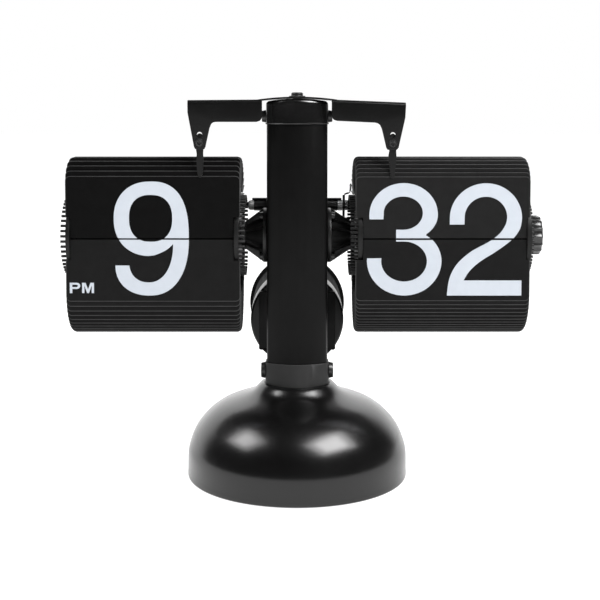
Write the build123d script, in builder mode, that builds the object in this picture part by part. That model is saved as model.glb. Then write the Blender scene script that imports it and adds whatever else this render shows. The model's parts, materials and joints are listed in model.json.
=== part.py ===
from build123d import *
import math
import os

# Desk flip clock, millimetres.  +Z up, +X to the clock's right as it is read,
# -Y towards the reader.  The origin is the centre of the round base on the
# surface that the clock stands on.

# ---------------------------------------------------------------- dimensions
# base
BASE_R = 47.75            # radius of the round base at its wall
BASE_TOP_Z = 40.5         # flat seat for the column
BASE_WALL = 1.4           # spun sheet thickness
PLATE_R = 45.6            # bottom plate radius
PAD_H = 1.2               # felt ring thickness

# column, a tube with a bowed front
COL_HALF_W = 13.1
COL_FRONT = -9.0          # crown of the bowed front
COL_SHOULDER = -4.5       # where the bow meets the side
COL_BACK = 5.5
COL_CORNER = 2.4
COL_WALL = 1.6
COLLAR_TOP_Z = 49.6
CAP_BOTTOM_Z = 152.9
CAP_TOP_Z = 163.1

# number drums
AXIS_Y = 9.2
AXIS_Z = 103.9
PIVOT_R = 17.2            # circle that the leaf pins stand on
DISC_R = 18.4
LEAF_L = 25.9             # leaf pivot to leaf tip
LEAF_T = 0.15
LEAF_CORNER = 2.0
NOTCH_H = 8.2             # side notch that clears the spool discs
HOUR_LEAVES = 48
MINUTE_LEAVES = 60
HOUR_X = (-99.2, -24.4)   # leaf edges
MINUTE_X = (25.05, 99.8)
HOUR_NARROW = (-97.2, -27.3)
MINUTE_NARROW = (28.3, 98.3)
SHAFT_R = 1.5
RUN = 0.05                # radial running clearance

# spool discs, as (side nearer the column, side away from it), absolute X
HOUR_DISC_IN = (25.0, 27.1)
HOUR_DISC_OUT = (97.4, 99.2)
MINUTE_DISC_IN = (26.0, 28.1)
MINUTE_DISC_OUT = (98.5, 100.6)
PIN_R = 0.6
GROOVE_R = (16.3, 18.0)
GROOVE_D = 0.8

# setting knob
KNOB_X = (102.3, 107.5)
KNOB_R = 8.9
KNOB_FLUTES = 14

# movement case
CASE_HALF_W = 13.35
CASE_Y = (5.7, 34.0)
CASE_Z = (90.0, 121.0)
CASE_WALL = 1.2
NOSE_HALF_W = 11.0
NOSE_Y = -3.2
NOSE_Z = (92.0, 115.8)

# gear train, module and teeth
M_FAST = 0.4
Z_MOTOR, Z_MINUTE = 10, 40
Z_MIN_PINION, Z_RED_WHEEL = 12, 48
Z_RED_PINION, Z_HOUR = 10, 60
C_ARBOR = M_FAST * (Z_MIN_PINION + Z_RED_WHEEL) / 2       # 12.0
M_SLOW = 2 * C_ARBOR / (Z_RED_PINION + Z_HOUR)            # 0.342857
C_MOTOR = M_FAST * (Z_MOTOR + Z_MINUTE) / 2               # 10.0
MOTOR_ANGLE = 60.0
ARBOR_Y, ARBOR_Z = AXIS_Y + C_ARBOR, AXIS_Z
MOTOR_Y = AXIS_Y + C_MOTOR * math.cos(math.radians(MOTOR_ANGLE))
MOTOR_Z = AXIS_Z + C_MOTOR * math.sin(math.radians(MOTOR_ANGLE))

# battery barrel
BAR_Z = 66.0
BAR_Y = (10.0, 59.5)
BAR_R = (20.7, 21.3)
BAR_FLANGE_R = 22.9
BAR_BORE = 17.7
CELL_R = 17.1
CELL_Y = (13.9, 73.9)
COVER_END_Y = 77.2

# pawl rod behind the drum axis
ROD_Y, ROD_Z, ROD_R = 26.0, 115.85, 1.6

# stop bracket
FLANGE_Y = (-9.5, -8.5)
FINGER_T = 0.35
HOUR_FINGER_X = -41.5
MINUTE_FINGER_X = 40.75

os.makedirs("parts", exist_ok=True)


def save(builder, name):
    """Label a finished piece and write it."""
    builder.part.label = name
    export_step(builder.part, "parts/" + name + ".step")


def plane_x(x):
    """Sketch plane across the drum axis: sketch x is +Y, sketch y is +Z."""
    return Plane(origin=(x, 0, 0), x_dir=(0, 1, 0), z_dir=(1, 0, 0))


def plane_y(y):
    """Sketch plane facing +Y: sketch x is +X, sketch y is +Z (normal is -Y)."""
    return Plane(origin=(0, y, 0), x_dir=(1, 0, 0), z_dir=(0, -1, 0))


def column_section(grow=0.0):
    """Outline of the column, offset outwards by grow.  Call inside a sketch."""
    w = COL_HALF_W + grow
    with BuildLine() as line:
        ThreePointArc((-w, COL_SHOULDER - grow * 0.5), (0, COL_FRONT - grow), (w, COL_SHOULDER - grow * 0.5))
        Polyline((w, COL_SHOULDER - grow * 0.5), (w, COL_BACK + grow), (-w, COL_BACK + grow), (-w, COL_SHOULDER - grow * 0.5))
    make_face(line.edges())
    fillet(BuildSketch._get_context().vertices(), radius=max(COL_CORNER + grow, 0.5))


def gear_outline(m, z, phase, back=0.05, add=0.6, ded=1.15):
    """Points round an involute spur gear; one tooth is centred at phase degrees."""
    r = m * z / 2
    rb = r * math.cos(math.radians(20))
    ra = r + add * m
    rf = r - ded * m
    inv20 = math.tan(math.radians(20)) - math.radians(20)
    half = (math.pi * m / 2 - back) / (2 * r)

    def flank(rr):
        if rr <= rb:
            a = 0.0
        else:
            t = math.acos(rb / rr)
            a = math.tan(t) - t
        return half + inv20 - a

    start = max(rb, rf + 0.02)
    radii = [rf] + [start + (ra - start) * k / 3 for k in range(4)]
    pts = []
    for i in range(z):
        c = math.radians(phase) + 2 * math.pi * i / z
        for rr in radii:
            pts.append((rr * math.cos(c - flank(rr)), rr * math.sin(c - flank(rr))))
        for rr in reversed(radii):
            pts.append((rr * math.cos(c + flank(rr)), rr * math.sin(c + flank(rr))))
    return pts


def gear(x0, x1, cy, cz, m, z, phase, bore, back=0.05, add=0.6):
    """Spur gear across the drum axis direction.  Call inside a part."""
    pts = [(cy + a, cz + b) for a, b in gear_outline(m, z, phase, back, add)]
    with BuildSketch(plane_x(x0)) as sk:
        with BuildLine():
            Polyline(*pts, close=True)
        make_face()
        if bore:
            with Locations((cy, cz)):
                Circle(bore, mode=Mode.SUBTRACT)
    extrude(sk.sketch, amount=x1 - x0)


def rod_x(x0, x1, cy, cz, r, mode=Mode.ADD):
    """Round rod or bore along X.  Call inside a part."""
    lo, hi = min(x0, x1), max(x0, x1)
    with BuildSketch(plane_x(lo)) as sk:
        with Locations((cy, cz)):
            Circle(r)
    extrude(sk.sketch, amount=hi - lo, mode=mode)


def rod_y(y0, y1, cx, cz, r, mode=Mode.ADD):
    """Round rod or bore along Y.  Call inside a part."""
    lo, hi = min(y0, y1), max(y0, y1)
    with BuildSketch(plane_y(hi)) as sk:
        with Locations((cx, cz)):
            Circle(r)
    extrude(sk.sketch, amount=hi - lo, mode=mode)


def rod_z(z0, z1, cx, cy, r, mode=Mode.ADD):
    """Round rod or bore along Z.  Call inside a part."""
    lo, hi = min(z0, z1), max(z0, z1)
    with BuildSketch(Plane.XY.offset(lo)) as sk:
        with Locations((cx, cy)):
            Circle(r)
    extrude(sk.sketch, amount=hi - lo, mode=mode)


def block(x, y, z, mode=Mode.ADD):
    """Block from corner ranges.  Call inside a part."""
    with BuildSketch(Plane.XY.offset(z[0])) as sk:
        with Locations(((x[0] + x[1]) / 2, (y[0] + y[1]) / 2)):
            Rectangle(x[1] - x[0], y[1] - y[0])
    extrude(sk.sketch, amount=z[1] - z[0], mode=mode)


# ---------------------------------------------------------------------- base
# outer profile of the spun dome, radius at height
DOME = [
    (47.75, 3.0), (47.6, 6.0), (47.45, 9.0), (46.85, 12.0), (45.95, 15.0),
    (44.95, 18.0), (43.6, 21.0), (41.5, 24.0), (38.55, 27.0), (34.3, 30.0),
    (30.5, 31.6), (26.8, 33.0), (23.4, 34.4), (20.5, 35.9), (18.2, 37.5),
    (16.8, 39.1), (16.0, BASE_TOP_Z),
]


def dome_offset(points, t):
    """Inner profile at wall thickness t, by moving along the inward normal."""
    out = []
    for i, (r, z) in enumerate(points):
        a = points[max(i - 1, 0)]
        b = points[min(i + 1, len(points) - 1)]
        dr, dz = b[0] - a[0], b[1] - a[1]
        n = math.hypot(dr, dz)
        out.append((r - dz / n * t, z + dr / n * t))
    return out


inner = [p for p in dome_offset(DOME, BASE_WALL) if p[1] < BASE_TOP_Z - BASE_WALL - 0.2]

with BuildPart() as base_shell:
    with BuildSketch(Plane.XZ):
        with BuildLine():
            Polyline((0, BASE_TOP_Z), DOME[-1])
            Spline(*reversed(DOME))
            Polyline(DOME[0], (BASE_R, 1.4))
            ThreePointArc((BASE_R, 1.4), (BASE_R - 0.32, 0.62), (BASE_R - 1.1, 0.3))
            Polyline((BASE_R - 1.1, 0.3), (0, 0.3), (0, BASE_TOP_Z))
        make_face()
    revolve(axis=Axis.Z)
    with BuildSketch(Plane.XZ):
        with BuildLine():
            Polyline((0, BASE_TOP_Z - BASE_WALL), (inner[-1][0], BASE_TOP_Z - BASE_WALL), inner[-1])
            Spline(*reversed(inner))
            Polyline(inner[0], (BASE_R - BASE_WALL, 0), (0, 0), (0, BASE_TOP_Z - BASE_WALL))
        make_face()
    revolve(axis=Axis.Z, mode=Mode.SUBTRACT)
    rod_z(BASE_TOP_Z - 3, BASE_TOP_Z + 1, 0, 0, 3.2, Mode.SUBTRACT)
save(base_shell, "base_shell")

# cast ballast with a post that carries the column bolt
SCREW_PCD_R = 34.0
with BuildPart() as base_weight:
    rod_z(3.4, 12.5, 0, 0, 41.0)
    rod_z(12.5, BASE_TOP_Z - BASE_WALL, 0, 0, 12.0)
    fillet(base_weight.edges().filter_by(GeomType.CIRCLE).group_by(Axis.Z)[-2].sort_by(SortBy.RADIUS)[-1:], radius=3.0)
    rod_z(3.0, BASE_TOP_Z, 0, 0, 3.2, Mode.SUBTRACT)
    rod_z(3.0, 8.5, 0, 0, 7.0, Mode.SUBTRACT)
    with BuildSketch(Plane.XY.offset(3.0)):
        with PolarLocations(SCREW_PCD_R, 3, start_angle=90):
            Circle(1.5)
    extrude(amount=8, mode=Mode.SUBTRACT)
save(base_weight, "base_weight")

with BuildPart() as base_plate:
    rod_z(PAD_H, 3.4, 0, 0, PLATE_R)
    with BuildSketch(Plane.XY.offset(0)):
        with PolarLocations(SCREW_PCD_R, 3, start_angle=90):
            Circle(1.6)
    extrude(amount=5, mode=Mode.SUBTRACT)
    with BuildSketch(Plane.XY.offset(0)):
        with PolarLocations(SCREW_PCD_R, 3, start_angle=90):
            Circle(3.1)
    extrude(amount=PAD_H + 1.0, mode=Mode.SUBTRACT)
    chamfer(base_plate.edges().filter_by(GeomType.CIRCLE).sort_by(SortBy.RADIUS)[-1:], length=0.3)
save(base_plate, "base_plate")

with BuildPart() as base_pad:
    rod_z(0, PAD_H, 0, 0, PLATE_R - 0.6)
    chamfer(base_pad.edges().group_by(Axis.Z)[0], length=0.25)
save(base_pad, "base_pad")

with BuildPart() as base_screws:
    with BuildSketch(Plane.XY.offset(PAD_H + 0.1)):
        with PolarLocations(SCREW_PCD_R, 3, start_angle=90):
            Circle(2.9)
    extrude(amount=0.9)
    with BuildSketch(Plane.XY.offset(PAD_H + 1.0)):
        with PolarLocations(SCREW_PCD_R, 3, start_angle=90):
            Circle(1.5)
    extrude(amount=8.0)
    with BuildSketch(Plane.XY.offset(PAD_H)):
        with PolarLocations(SCREW_PCD_R, 3, start_angle=90):
            Rectangle(3.8, 0.7)
            Rectangle(0.7, 3.8)
    extrude(amount=0.6, mode=Mode.SUBTRACT)
save(base_screws, "base_screws")

# bolt from under the ballast up into the column foot
with BuildPart() as column_bolt:
    with BuildSketch(Plane.XY.offset(4.3)):
        RegularPolygon(5.5, 6)
    extrude(amount=4.2)
    rod_z(8.5, 55.0, 0, 0, 3.0)
    chamfer(column_bolt.faces().sort_by(Axis.Z)[-1].edges(), length=0.5)
save(column_bolt, "column_bolt")

# -------------------------------------------------------------------- column
FOOT_GROW = -COL_WALL - RUN
with BuildPart() as column_foot:
    with BuildSketch(Plane.XY.offset(BASE_TOP_Z)):
        column_section(FOOT_GROW)
    extrude(amount=18.7)
    rod_z(BASE_TOP_Z - 1, 55.8, 0, 0, 3.0, Mode.SUBTRACT)
    chamfer(column_foot.faces().sort_by(Axis.Z)[-1].edges(), length=0.6)
    rod_x(-30, 30, -1.0, 45.7, 1.5, Mode.SUBTRACT)
save(column_foot, "column_foot")

with BuildPart() as column_collar:
    with BuildSketch(Plane.XY.offset(BASE_TOP_Z)):
        column_section(0.6)
    extrude(amount=COLLAR_TOP_Z - BASE_TOP_Z)
    fillet(column_collar.faces().sort_by(Axis.Z)[-1].edges(), radius=0.35)
    with BuildSketch(Plane.XY.offset(BASE_TOP_Z - 1)):
        column_section(FOOT_GROW + RUN)
    extrude(amount=20, mode=Mode.SUBTRACT)
    rod_x(-30, 30, -1.0, 45.7, 1.6, Mode.SUBTRACT)
save(column_collar, "column_collar")

with BuildPart() as collar_screws:
    for s in (-1, 1):
        with BuildSketch(plane_x(s * (COL_HALF_W + 0.6))):
            with Locations((-1.0, 45.7)):
                Circle(3.6)
        extrude(amount=s * 2.0, taper=12)
        rod_x(s * (COL_HALF_W + 0.6), s * 5.6, -1.0, 45.7, 1.5)
        with BuildSketch(plane_x(s * (COL_HALF_W + 2.6))):
            with Locations((-1.0, 45.7)):
                Rectangle(4.2, 0.8)
                Rectangle(0.8, 4.2)
        extrude(amount=-s * 1.1, mode=Mode.SUBTRACT)
save(collar_screws, "collar_screws")

WIN_X = NOSE_HALF_W + 0.25
with BuildPart() as column_tube:
    with BuildSketch(Plane.XY.offset(COLLAR_TOP_Z)):
        column_section(0)
    extrude(amount=CAP_BOTTOM_Z - COLLAR_TOP_Z)
    with BuildSketch(Plane.XY.offset(COLLAR_TOP_Z - 1)):
        column_section(-COL_WALL)
    extrude(amount=130, mode=Mode.SUBTRACT)
    # window in the back for the movement nose
    block((-WIN_X, WIN_X), (0, 20), (NOSE_Z[0] - 0.25, NOSE_Z[1] + 0.25), Mode.SUBTRACT)
    # fixing holes for the movement and the battery bracket
    for cx, cz in ((-8, 118.6), (8, 118.6), (-6, 61.0), (6, 71.0)):
        rod_y(0, 20, cx, cz, 1.25, Mode.SUBTRACT)
save(column_tube, "column_tube")

# block inside the top of the tube that the cap and the bracket screw to
with BuildPart() as column_head:
    with BuildSketch(Plane.XY.offset(140.0)):
        column_section(FOOT_GROW)
    extrude(amount=21.6)
    rod_z(150.0, 170.0, 0, -1.0, 2.0, Mode.SUBTRACT)
    rod_x(-30, 30, -1.0, 156.4, 1.3, Mode.SUBTRACT)
    chamfer(column_head.faces().sort_by(Axis.Z)[0].edges(), length=0.6)
save(column_head, "column_head")

with BuildPart() as column_cap:
    with BuildSketch(Plane.XY.offset(CAP_BOTTOM_Z)):
        column_section(0.35)
    extrude(amount=14.0)
    # gently domed roof
    with BuildSketch(plane_y(20)):
        with BuildLine():
            ThreePointArc((-18, 161.9), (0, 163.85), (18, 161.9))
            Polyline((18, 161.9), (18, 150), (-18, 150), (-18, 161.9))
        make_face()
    extrude(amount=40, mode=Mode.INTERSECT)
    fillet(column_cap.edges().filter_by(lambda e: e.center().Z > 160.5), radius=1.9)
    with BuildSketch(Plane.XY.offset(CAP_BOTTOM_Z)):
        column_section(0.6)
    extrude(amount=0.7)
    fillet(column_cap.faces().sort_by(Axis.Z)[0].outer_wire().edges(), radius=0.3)
    with BuildSketch(Plane.XY.offset(CAP_BOTTOM_Z - 1)):
        column_section(FOOT_GROW + RUN)
    extrude(amount=161.6 - CAP_BOTTOM_Z + 1, mode=Mode.SUBTRACT)
    rod_z(150.0, 170.0, 0, -1.0, 2.1, Mode.SUBTRACT)
    rod_x(-30, 30, -1.0, 156.4, 1.4, Mode.SUBTRACT)
save(column_cap, "column_cap")

with BuildPart() as cap_screws:
    for s in (-1, 1):
        with BuildSketch(plane_x(s * (COL_HALF_W + 0.35))):
            with Locations((-1.0, 156.4)):
                Circle(2.75)
        extrude(amount=s * 1.75, taper=12)
        rod_x(s * (COL_HALF_W + 0.35), s * 5.6, -1.0, 156.4, 1.3)
        with BuildSketch(plane_x(s * (COL_HALF_W + 2.1))):
            with Locations((-1.0, 156.4)):
                Rectangle(3.2, 0.7)
                Rectangle(0.7, 3.2)
        extrude(amount=-s * 0.9, mode=Mode.SUBTRACT)
save(cap_screws, "cap_screws")

# -------------------------------------------------------------- stop bracket
# left flange, drawn as seen from the front
LEFT_ARM = [
    (-14.9, 163.55), (-14.9, 156.2), (-15.6, 154.5), (-17.3, 153.95), (-34.6, 153.95),
    (-36.4, 153.3), (-37.2, 151.4), (-39.0, 143.3), (-39.5, 142.35), (-43.3, 142.35),
    (-43.9, 143.3), (-46.6, 158.0), (-46.7, 163.3),
]
RIGHT_ARM = [
    (14.7, 163.55), (14.7, 156.6), (15.4, 155.0), (17.1, 154.4), (33.1, 153.65),
    (34.9, 153.0), (36.0, 151.0), (37.9, 143.0), (38.5, 142.1), (42.4, 142.1),
    (43.2, 143.0), (46.0, 155.7), (46.3, 161.4), (46.1, 162.25),
]


def outline(points):
    """Closed face through points.  Call inside a sketch."""
    with BuildLine() as line:
        Polyline(*points, close=True)
    make_face(line.edges())


with BuildPart() as stop_bracket:
    for pts, fx, fz in ((LEFT_ARM, HOUR_FINGER_X, 148.45), (RIGHT_ARM, MINUTE_FINGER_X, 148.3)):
        with BuildSketch(plane_y(FLANGE_Y[1])):
            outline(pts)
        extrude(amount=1.0)
    # top webs of the two arms
    with BuildSketch(plane_y(-2.5)):
        outline([(-14.9, 163.55), (-14.9, 162.65), (-46.7, 162.4), (-46.7, 163.3)])
        outline([(14.7, 163.55), (14.7, 162.65), (46.2, 161.35), (46.1, 162.25)])
    extrude(amount=7.0)
    top = stop_bracket.edges().filter_by(
        lambda e: abs(e.center().Y - FLANGE_Y[0]) < 0.01 and e.center().Z > 162.3 and e.length > 20
    )
    fillet(top, radius=0.75)
    # arched plate that joins the arms over the cap
    with BuildSketch(plane_y(5.6)):
        with BuildLine():
            ThreePointArc((-17.0, 162.75), (0, 163.95), (17.0, 162.75))
            Line((17.0, 162.75), (17.0, 163.45))
            ThreePointArc((17.0, 163.45), (0, 164.75), (-17.0, 163.45))
            Line((-17.0, 163.45), (-17.0, 162.75))
        make_face()
    extrude(amount=14.0)
    rod_z(160, 170, 0, -1.0, 2.1, Mode.SUBTRACT)
    for fx, hz, sz in ((HOUR_FINGER_X, 148.45, 145.15), (MINUTE_FINGER_X, 148.3, 144.85)):
        rod_y(-12, -5, fx, hz, 1.37, Mode.SUBTRACT)
        rod_y(-12, -5, fx, sz, 0.95, Mode.SUBTRACT)
save(stop_bracket, "stop_bracket")

# flanged screw that clamps the bracket to the head block
with BuildPart() as bracket_screw:
    rod_z(164.75, 165.2, 0, -1.0, 3.6)
    rod_z(165.2, 166.7, 0, -1.0, 2.6)
    fillet(bracket_screw.faces().sort_by(Axis.Z)[-1].edges(), radius=0.7)
    rod_z(152.0, 165.2, 0, -1.0, 2.0)
    with BuildSketch(Plane.XY.offset(165.9)):
        with Locations((0, -1.0)):
            Rectangle(2.8, 0.7)
            Rectangle(0.7, 2.8)
    extrude(amount=1.0, mode=Mode.SUBTRACT)
save(bracket_screw, "bracket_screw")

# springy steel fingers that hold back the front leaf of each drum
with BuildPart() as hour_stop_finger:
    with BuildSketch(plane_y(FLANGE_Y[1] + FINGER_T)):
        with Locations((HOUR_FINGER_X, (130.1 + 147.2) / 2)):
            Rectangle(2.9, 147.2 - 130.1)
        with Locations((HOUR_FINGER_X, 147.2)):
            Circle(1.6)
        with Locations((HOUR_FINGER_X, 145.15)):
            Circle(0.9, mode=Mode.SUBTRACT)
    extrude(amount=FINGER_T)
save(hour_stop_finger, "hour_stop_finger")

with BuildPart() as minute_stop_finger:
    with BuildSketch(plane_y(FLANGE_Y[1] + FINGER_T)):
        with Locations((MINUTE_FINGER_X, (131.3 + 147.0) / 2)):
            Rectangle(3.0, 147.0 - 131.3)
        with Locations((MINUTE_FINGER_X, 147.0)):
            Circle(1.6)
        with Locations((MINUTE_FINGER_X, 131.3)):
            Circle(1.5)
        with Locations((MINUTE_FINGER_X, 144.85)):
            Circle(0.9, mode=Mode.SUBTRACT)
    extrude(amount=FINGER_T)
save(minute_stop_finger, "minute_stop_finger")

with BuildPart() as finger_screws:
    for fx, sz in ((HOUR_FINGER_X, 145.15), (MINUTE_FINGER_X, 144.85)):
        with BuildSketch(plane_y(FLANGE_Y[0])):
            with Locations((fx, sz)):
                Circle(1.8)
        extrude(amount=0.9, taper=15)
        rod_y(FLANGE_Y[0], -7.3, fx, sz, 0.9)
        # nut behind the finger
        with BuildSketch(plane_y(-7.5)):
            with Locations((fx, sz)):
                RegularPolygon(1.75, 6)
        extrude(amount=0.65)
        with BuildSketch(plane_y(FLANGE_Y[0] - 0.9)):
            with Locations((fx, sz)):
                Rectangle(2.0, 0.45)
                Rectangle(0.45, 2.0)
        extrude(amount=-0.45, mode=Mode.SUBTRACT)
save(finger_screws, "finger_screws")

# ------------------------------------------------------------- movement case
IN_W = CASE_HALF_W - CASE_WALL
with BuildPart() as movement_case:
    block((-CASE_HALF_W, CASE_HALF_W), CASE_Y, CASE_Z)
    block((-NOSE_HALF_W, NOSE_HALF_W), (NOSE_Y, CASE_Y[0] + 1), NOSE_Z)
    fillet(movement_case.edges().filter_by(Axis.Y).filter_by(lambda e: e.length > 20), radius=1.6)
    # thin tongues above the rod sleeves
    block((-20.5, -IN_W), (24.2, 27.8), (118.75, 119.2))
    block((IN_W, 20.2), (24.2, 27.8), (118.75, 119.2))
    block((-IN_W, IN_W), (CASE_Y[0] + CASE_WALL, 60), (CASE_Z[0] + CASE_WALL, CASE_Z[1] - CASE_WALL), Mode.SUBTRACT)
    block((-NOSE_HALF_W + 1, NOSE_HALF_W - 1), (NOSE_Y + 1, 20), (NOSE_Z[0] + 1, NOSE_Z[1] - 1), Mode.SUBTRACT)
    # drum boss seats, arbor and rod bores
    rod_x(-30, 30, AXIS_Y, AXIS_Z, 3.4, Mode.SUBTRACT)
    rod_x(-13.36, 13.36, ARBOR_Y, ARBOR_Z, 1.0 + RUN, Mode.SUBTRACT)
    rod_x(-13.36, 13.36, ROD_Y, ROD_Z, ROD_R, Mode.SUBTRACT)
    for cx in (-8, 8):
        rod_y(0, 20, cx, 118.6 - 0.0, 1.25, Mode.SUBTRACT)
    # corner pillars for the cover screws
    for cx in (-10.7, 10.7):
        for cz in (92.6, 118.4):
            rod_y(30.0, CASE_Y[1], cx, cz, 1.6)
            rod_y(30.5, 40, cx, cz, 0.8, Mode.SUBTRACT)
    # drain-sized wire hole in the floor
    rod_z(85, 95, 0, 20.0, 1.6, Mode.SUBTRACT)
save(movement_case, "movement_case")

with BuildPart() as movement_cover:
    block((-CASE_HALF_W, CASE_HALF_W), (CASE_Y[1], CASE_Y[1] + 1.4), CASE_Z)
    fillet(movement_cover.edges().filter_by(Axis.Y), radius=1.6)
    chamfer(movement_cover.faces().sort_by(Axis.Y)[-1].edges(), length=0.4)
    for cz in (98.0, 101.0, 104.0, 107.0, 110.0):
        block((-7, 7), (CASE_Y[1] - 1, CASE_Y[1] + 3), (cz - 0.6, cz + 0.6), Mode.SUBTRACT)
    for cx in (-10.7, 10.7):
        for cz in (92.6, 118.4):
            rod_y(CASE_Y[1] - 1, CASE_Y[1] + 3, cx, cz, 0.9, Mode.SUBTRACT)
save(movement_cover, "movement_cover")

with BuildPart() as cover_screws:
    for cx in (-10.7, 10.7):
        for cz in (92.6, 118.4):
            rod_y(30.8, CASE_Y[1] + 1.4, cx, cz, 0.8)
            rod_y(CASE_Y[1] + 1.4, CASE_Y[1] + 2.4, cx, cz, 1.7)
    fillet(cover_screws.edges().filter_by(GeomType.CIRCLE).group_by(Axis.Y)[-1], radius=0.4)
    for cx in (-10.7, 10.7):
        for cz in (92.6, 118.4):
            block((cx - 1.1, cx + 1.1), (CASE_Y[1] + 1.9, CASE_Y[1] + 3), (cz - 0.25, cz + 0.25), Mode.SUBTRACT)
            block((cx - 0.25, cx + 0.25), (CASE_Y[1] + 1.9, CASE_Y[1] + 3), (cz - 1.1, cz + 1.1), Mode.SUBTRACT)
save(cover_screws, "cover_screws")

# identical screws into the back of the column: two hold the movement case,
# driven from inside it, and two hold the battery barrel and its bracket
with BuildPart() as back_screws:
    for cx, cz, seat in ((-8, 118.6, CASE_Y[0] + CASE_WALL), (8, 118.6, CASE_Y[0] + CASE_WALL),
                         (-6, 61.0, BAR_Y[0] + 1.6), (6, 71.0, BAR_Y[0] + 1.6)):
        rod_y(2.0, seat, cx, cz, 1.25)
        rod_y(seat, seat + 0.7, cx, cz, 2.2 if cz < 80 else 1.15)
save(back_screws, "back_screws")

with BuildPart() as circuit_board:
    block((-9.0, 9.0), (32.0, 33.0), (94.6, 116.4))
    for cx in (-8.0, 8.0):
        rod_y(33.0, CASE_Y[1], cx, 95.8, 0.7)
        rod_y(33.0, CASE_Y[1], cx, 115.2, 0.7)
    block((-3, 3), (31.2, 32.0), (104, 110))
    block((4, 8), (31.3, 32.0), (112, 114))
    block((-8, -5), (31.3, 32.0), (97, 102))
save(circuit_board, "circuit_board")

with BuildPart() as bearing_plate:
    block((-0.7, 0.8), (7.2, 23.6), (CASE_Z[0] + CASE_WALL, CASE_Z[1] - CASE_WALL))
    rod_x(-2, 2, AXIS_Y, AXIS_Z, SHAFT_R + RUN, Mode.SUBTRACT)
    rod_x(-2, 2, ARBOR_Y, ARBOR_Z, 1.0 + RUN, Mode.SUBTRACT)
save(bearing_plate, "bearing_plate")

with BuildPart() as motor:
    rod_x(0.8, 5.1, MOTOR_Y, MOTOR_Z, 6.0)
    fillet(motor.faces().sort_by(Axis.X)[-1].edges(), radius=0.5)
    rod_x(2.5, 6, MOTOR_Y, MOTOR_Z, 0.65, Mode.SUBTRACT)
save(motor, "motor")

with BuildPart() as motor_pinion:
    rod_x(3.0, 9.9, MOTOR_Y, MOTOR_Z, 0.6)
    gear(8.0, 9.7, MOTOR_Y, MOTOR_Z, M_FAST, Z_MOTOR, MOTOR_ANGLE + 180 + 180 / Z_MOTOR, 0, add=0.8)
save(motor_pinion, "motor_pinion")

# arbor with the slow pinion cut on it
with BuildPart() as reduction_arbor:
    rod_x(-12.9, 12.9, ARBOR_Y, ARBOR_Z, 1.0)
    gear(-4.4, -1.0, ARBOR_Y, ARBOR_Z, M_SLOW, Z_RED_PINION, 180, 0, add=0.8)
save(reduction_arbor, "reduction_arbor")

with BuildPart() as reduction_wheel:
    gear(5.6, 6.8, ARBOR_Y, ARBOR_Z, M_FAST, Z_RED_WHEEL, 180 + 180 / Z_RED_WHEEL, 1.0)
    with BuildSketch(plane_x(5)):
        with Locations((ARBOR_Y, ARBOR_Z)):
            with PolarLocations(5.6, 5):
                Circle(1.9)
    extrude(amount=3, mode=Mode.SUBTRACT)
save(reduction_wheel, "reduction_wheel")

# bosses that carry the drum shafts out of the case, ribbed trumpets
BOSS_SCREW_R = 10.0


def drum_boss(s, end):
    """Ribbed boss on side s, ending at absolute X end.  Call inside a part."""
    with BuildSketch(Plane.XZ) as sk:
        outline([(s * 12.15, 0), (s * 12.15, 3.4), (s * 13.35, 3.4), (s * 13.35, 12.0),
                 (s * 14.85, 12.0), (s * 14.85, 8.2), (s * (end - 2.2), 4.7), (s * (end - 1.6), 5.8),
                 (s * end, 5.8), (s * end, 0)])
    revolve(sk.sketch, axis=Axis.X)


def boss_rib(s, end):
    """Profile of one straight rib, drawn above the axis."""
    outline([(s * 14.4, 1.0), (s * 14.4, 11.9), (s * 14.85, 11.9), (s * (end - 1.4), 5.75), (s * (end - 1.4), 1.0)])


for s, end, nm in ((-1, 24.6, "hour_boss"), (1, 25.5, "minute_boss")):
    with BuildPart() as boss:
        drum_boss(s, end)
        for k in range(6):
            a = math.radians(90 + 60 * k)
            rib_plane = Plane(origin=(0, 0, 0), x_dir=(1, 0, 0), z_dir=(0, -math.sin(a), math.cos(a)))
            with BuildSketch(rib_plane) as rib:
                boss_rib(s, end)
            extrude(rib.sketch, amount=0.8, both=True)
        rod_x(s * 11, s * 30, 0, 0, 3.0, Mode.SUBTRACT)
        for a in (-60, 60, 180):
            rod_x(s * 11, s * 20, -BOSS_SCREW_R * math.cos(math.radians(a)), BOSS_SCREW_R * math.sin(math.radians(a)), 0.9, Mode.SUBTRACT)
            rod_x(s * 14.85, s * 20, -BOSS_SCREW_R * math.cos(math.radians(a)), BOSS_SCREW_R * math.sin(math.radians(a)), 2.1, Mode.SUBTRACT)
    boss.part.position = (0, AXIS_Y, AXIS_Z)
    save(boss, nm)

with BuildPart() as boss_screws:
    for s in (-1, 1):
        for a in (-60, 60, 180):
            cy = AXIS_Y - BOSS_SCREW_R * math.cos(math.radians(a))
            cz = AXIS_Z + BOSS_SCREW_R * math.sin(math.radians(a))
            with BuildSketch(plane_x(s * 14.85)):
                with Locations((cy, cz)):
                    Circle(2.0)
            extrude(amount=s * 1.7, taper=8)
            rod_x(s * 14.85, s * 13.36, cy, cz, 0.9)
            with BuildSketch(plane_x(s * 16.55)):
                with Locations((cy, cz)):
                    Rectangle(2.4, 0.5)
                    Rectangle(0.5, 2.4)
            extrude(amount=-s * 0.7, mode=Mode.SUBTRACT)
save(boss_screws, "boss_screws")

with BuildPart() as bearing_bushes:
    for s, end in ((-1, 24.6), (1, 25.5)):
        with BuildSketch(plane_x(min(s * 12.15, s * end))):
            with Locations((AXIS_Y, AXIS_Z)):
                Circle(3.0)
                Circle(SHAFT_R + RUN, mode=Mode.SUBTRACT)
        extrude(amount=end - 12.15)
save(bearing_bushes, "bearing_bushes")

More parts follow.
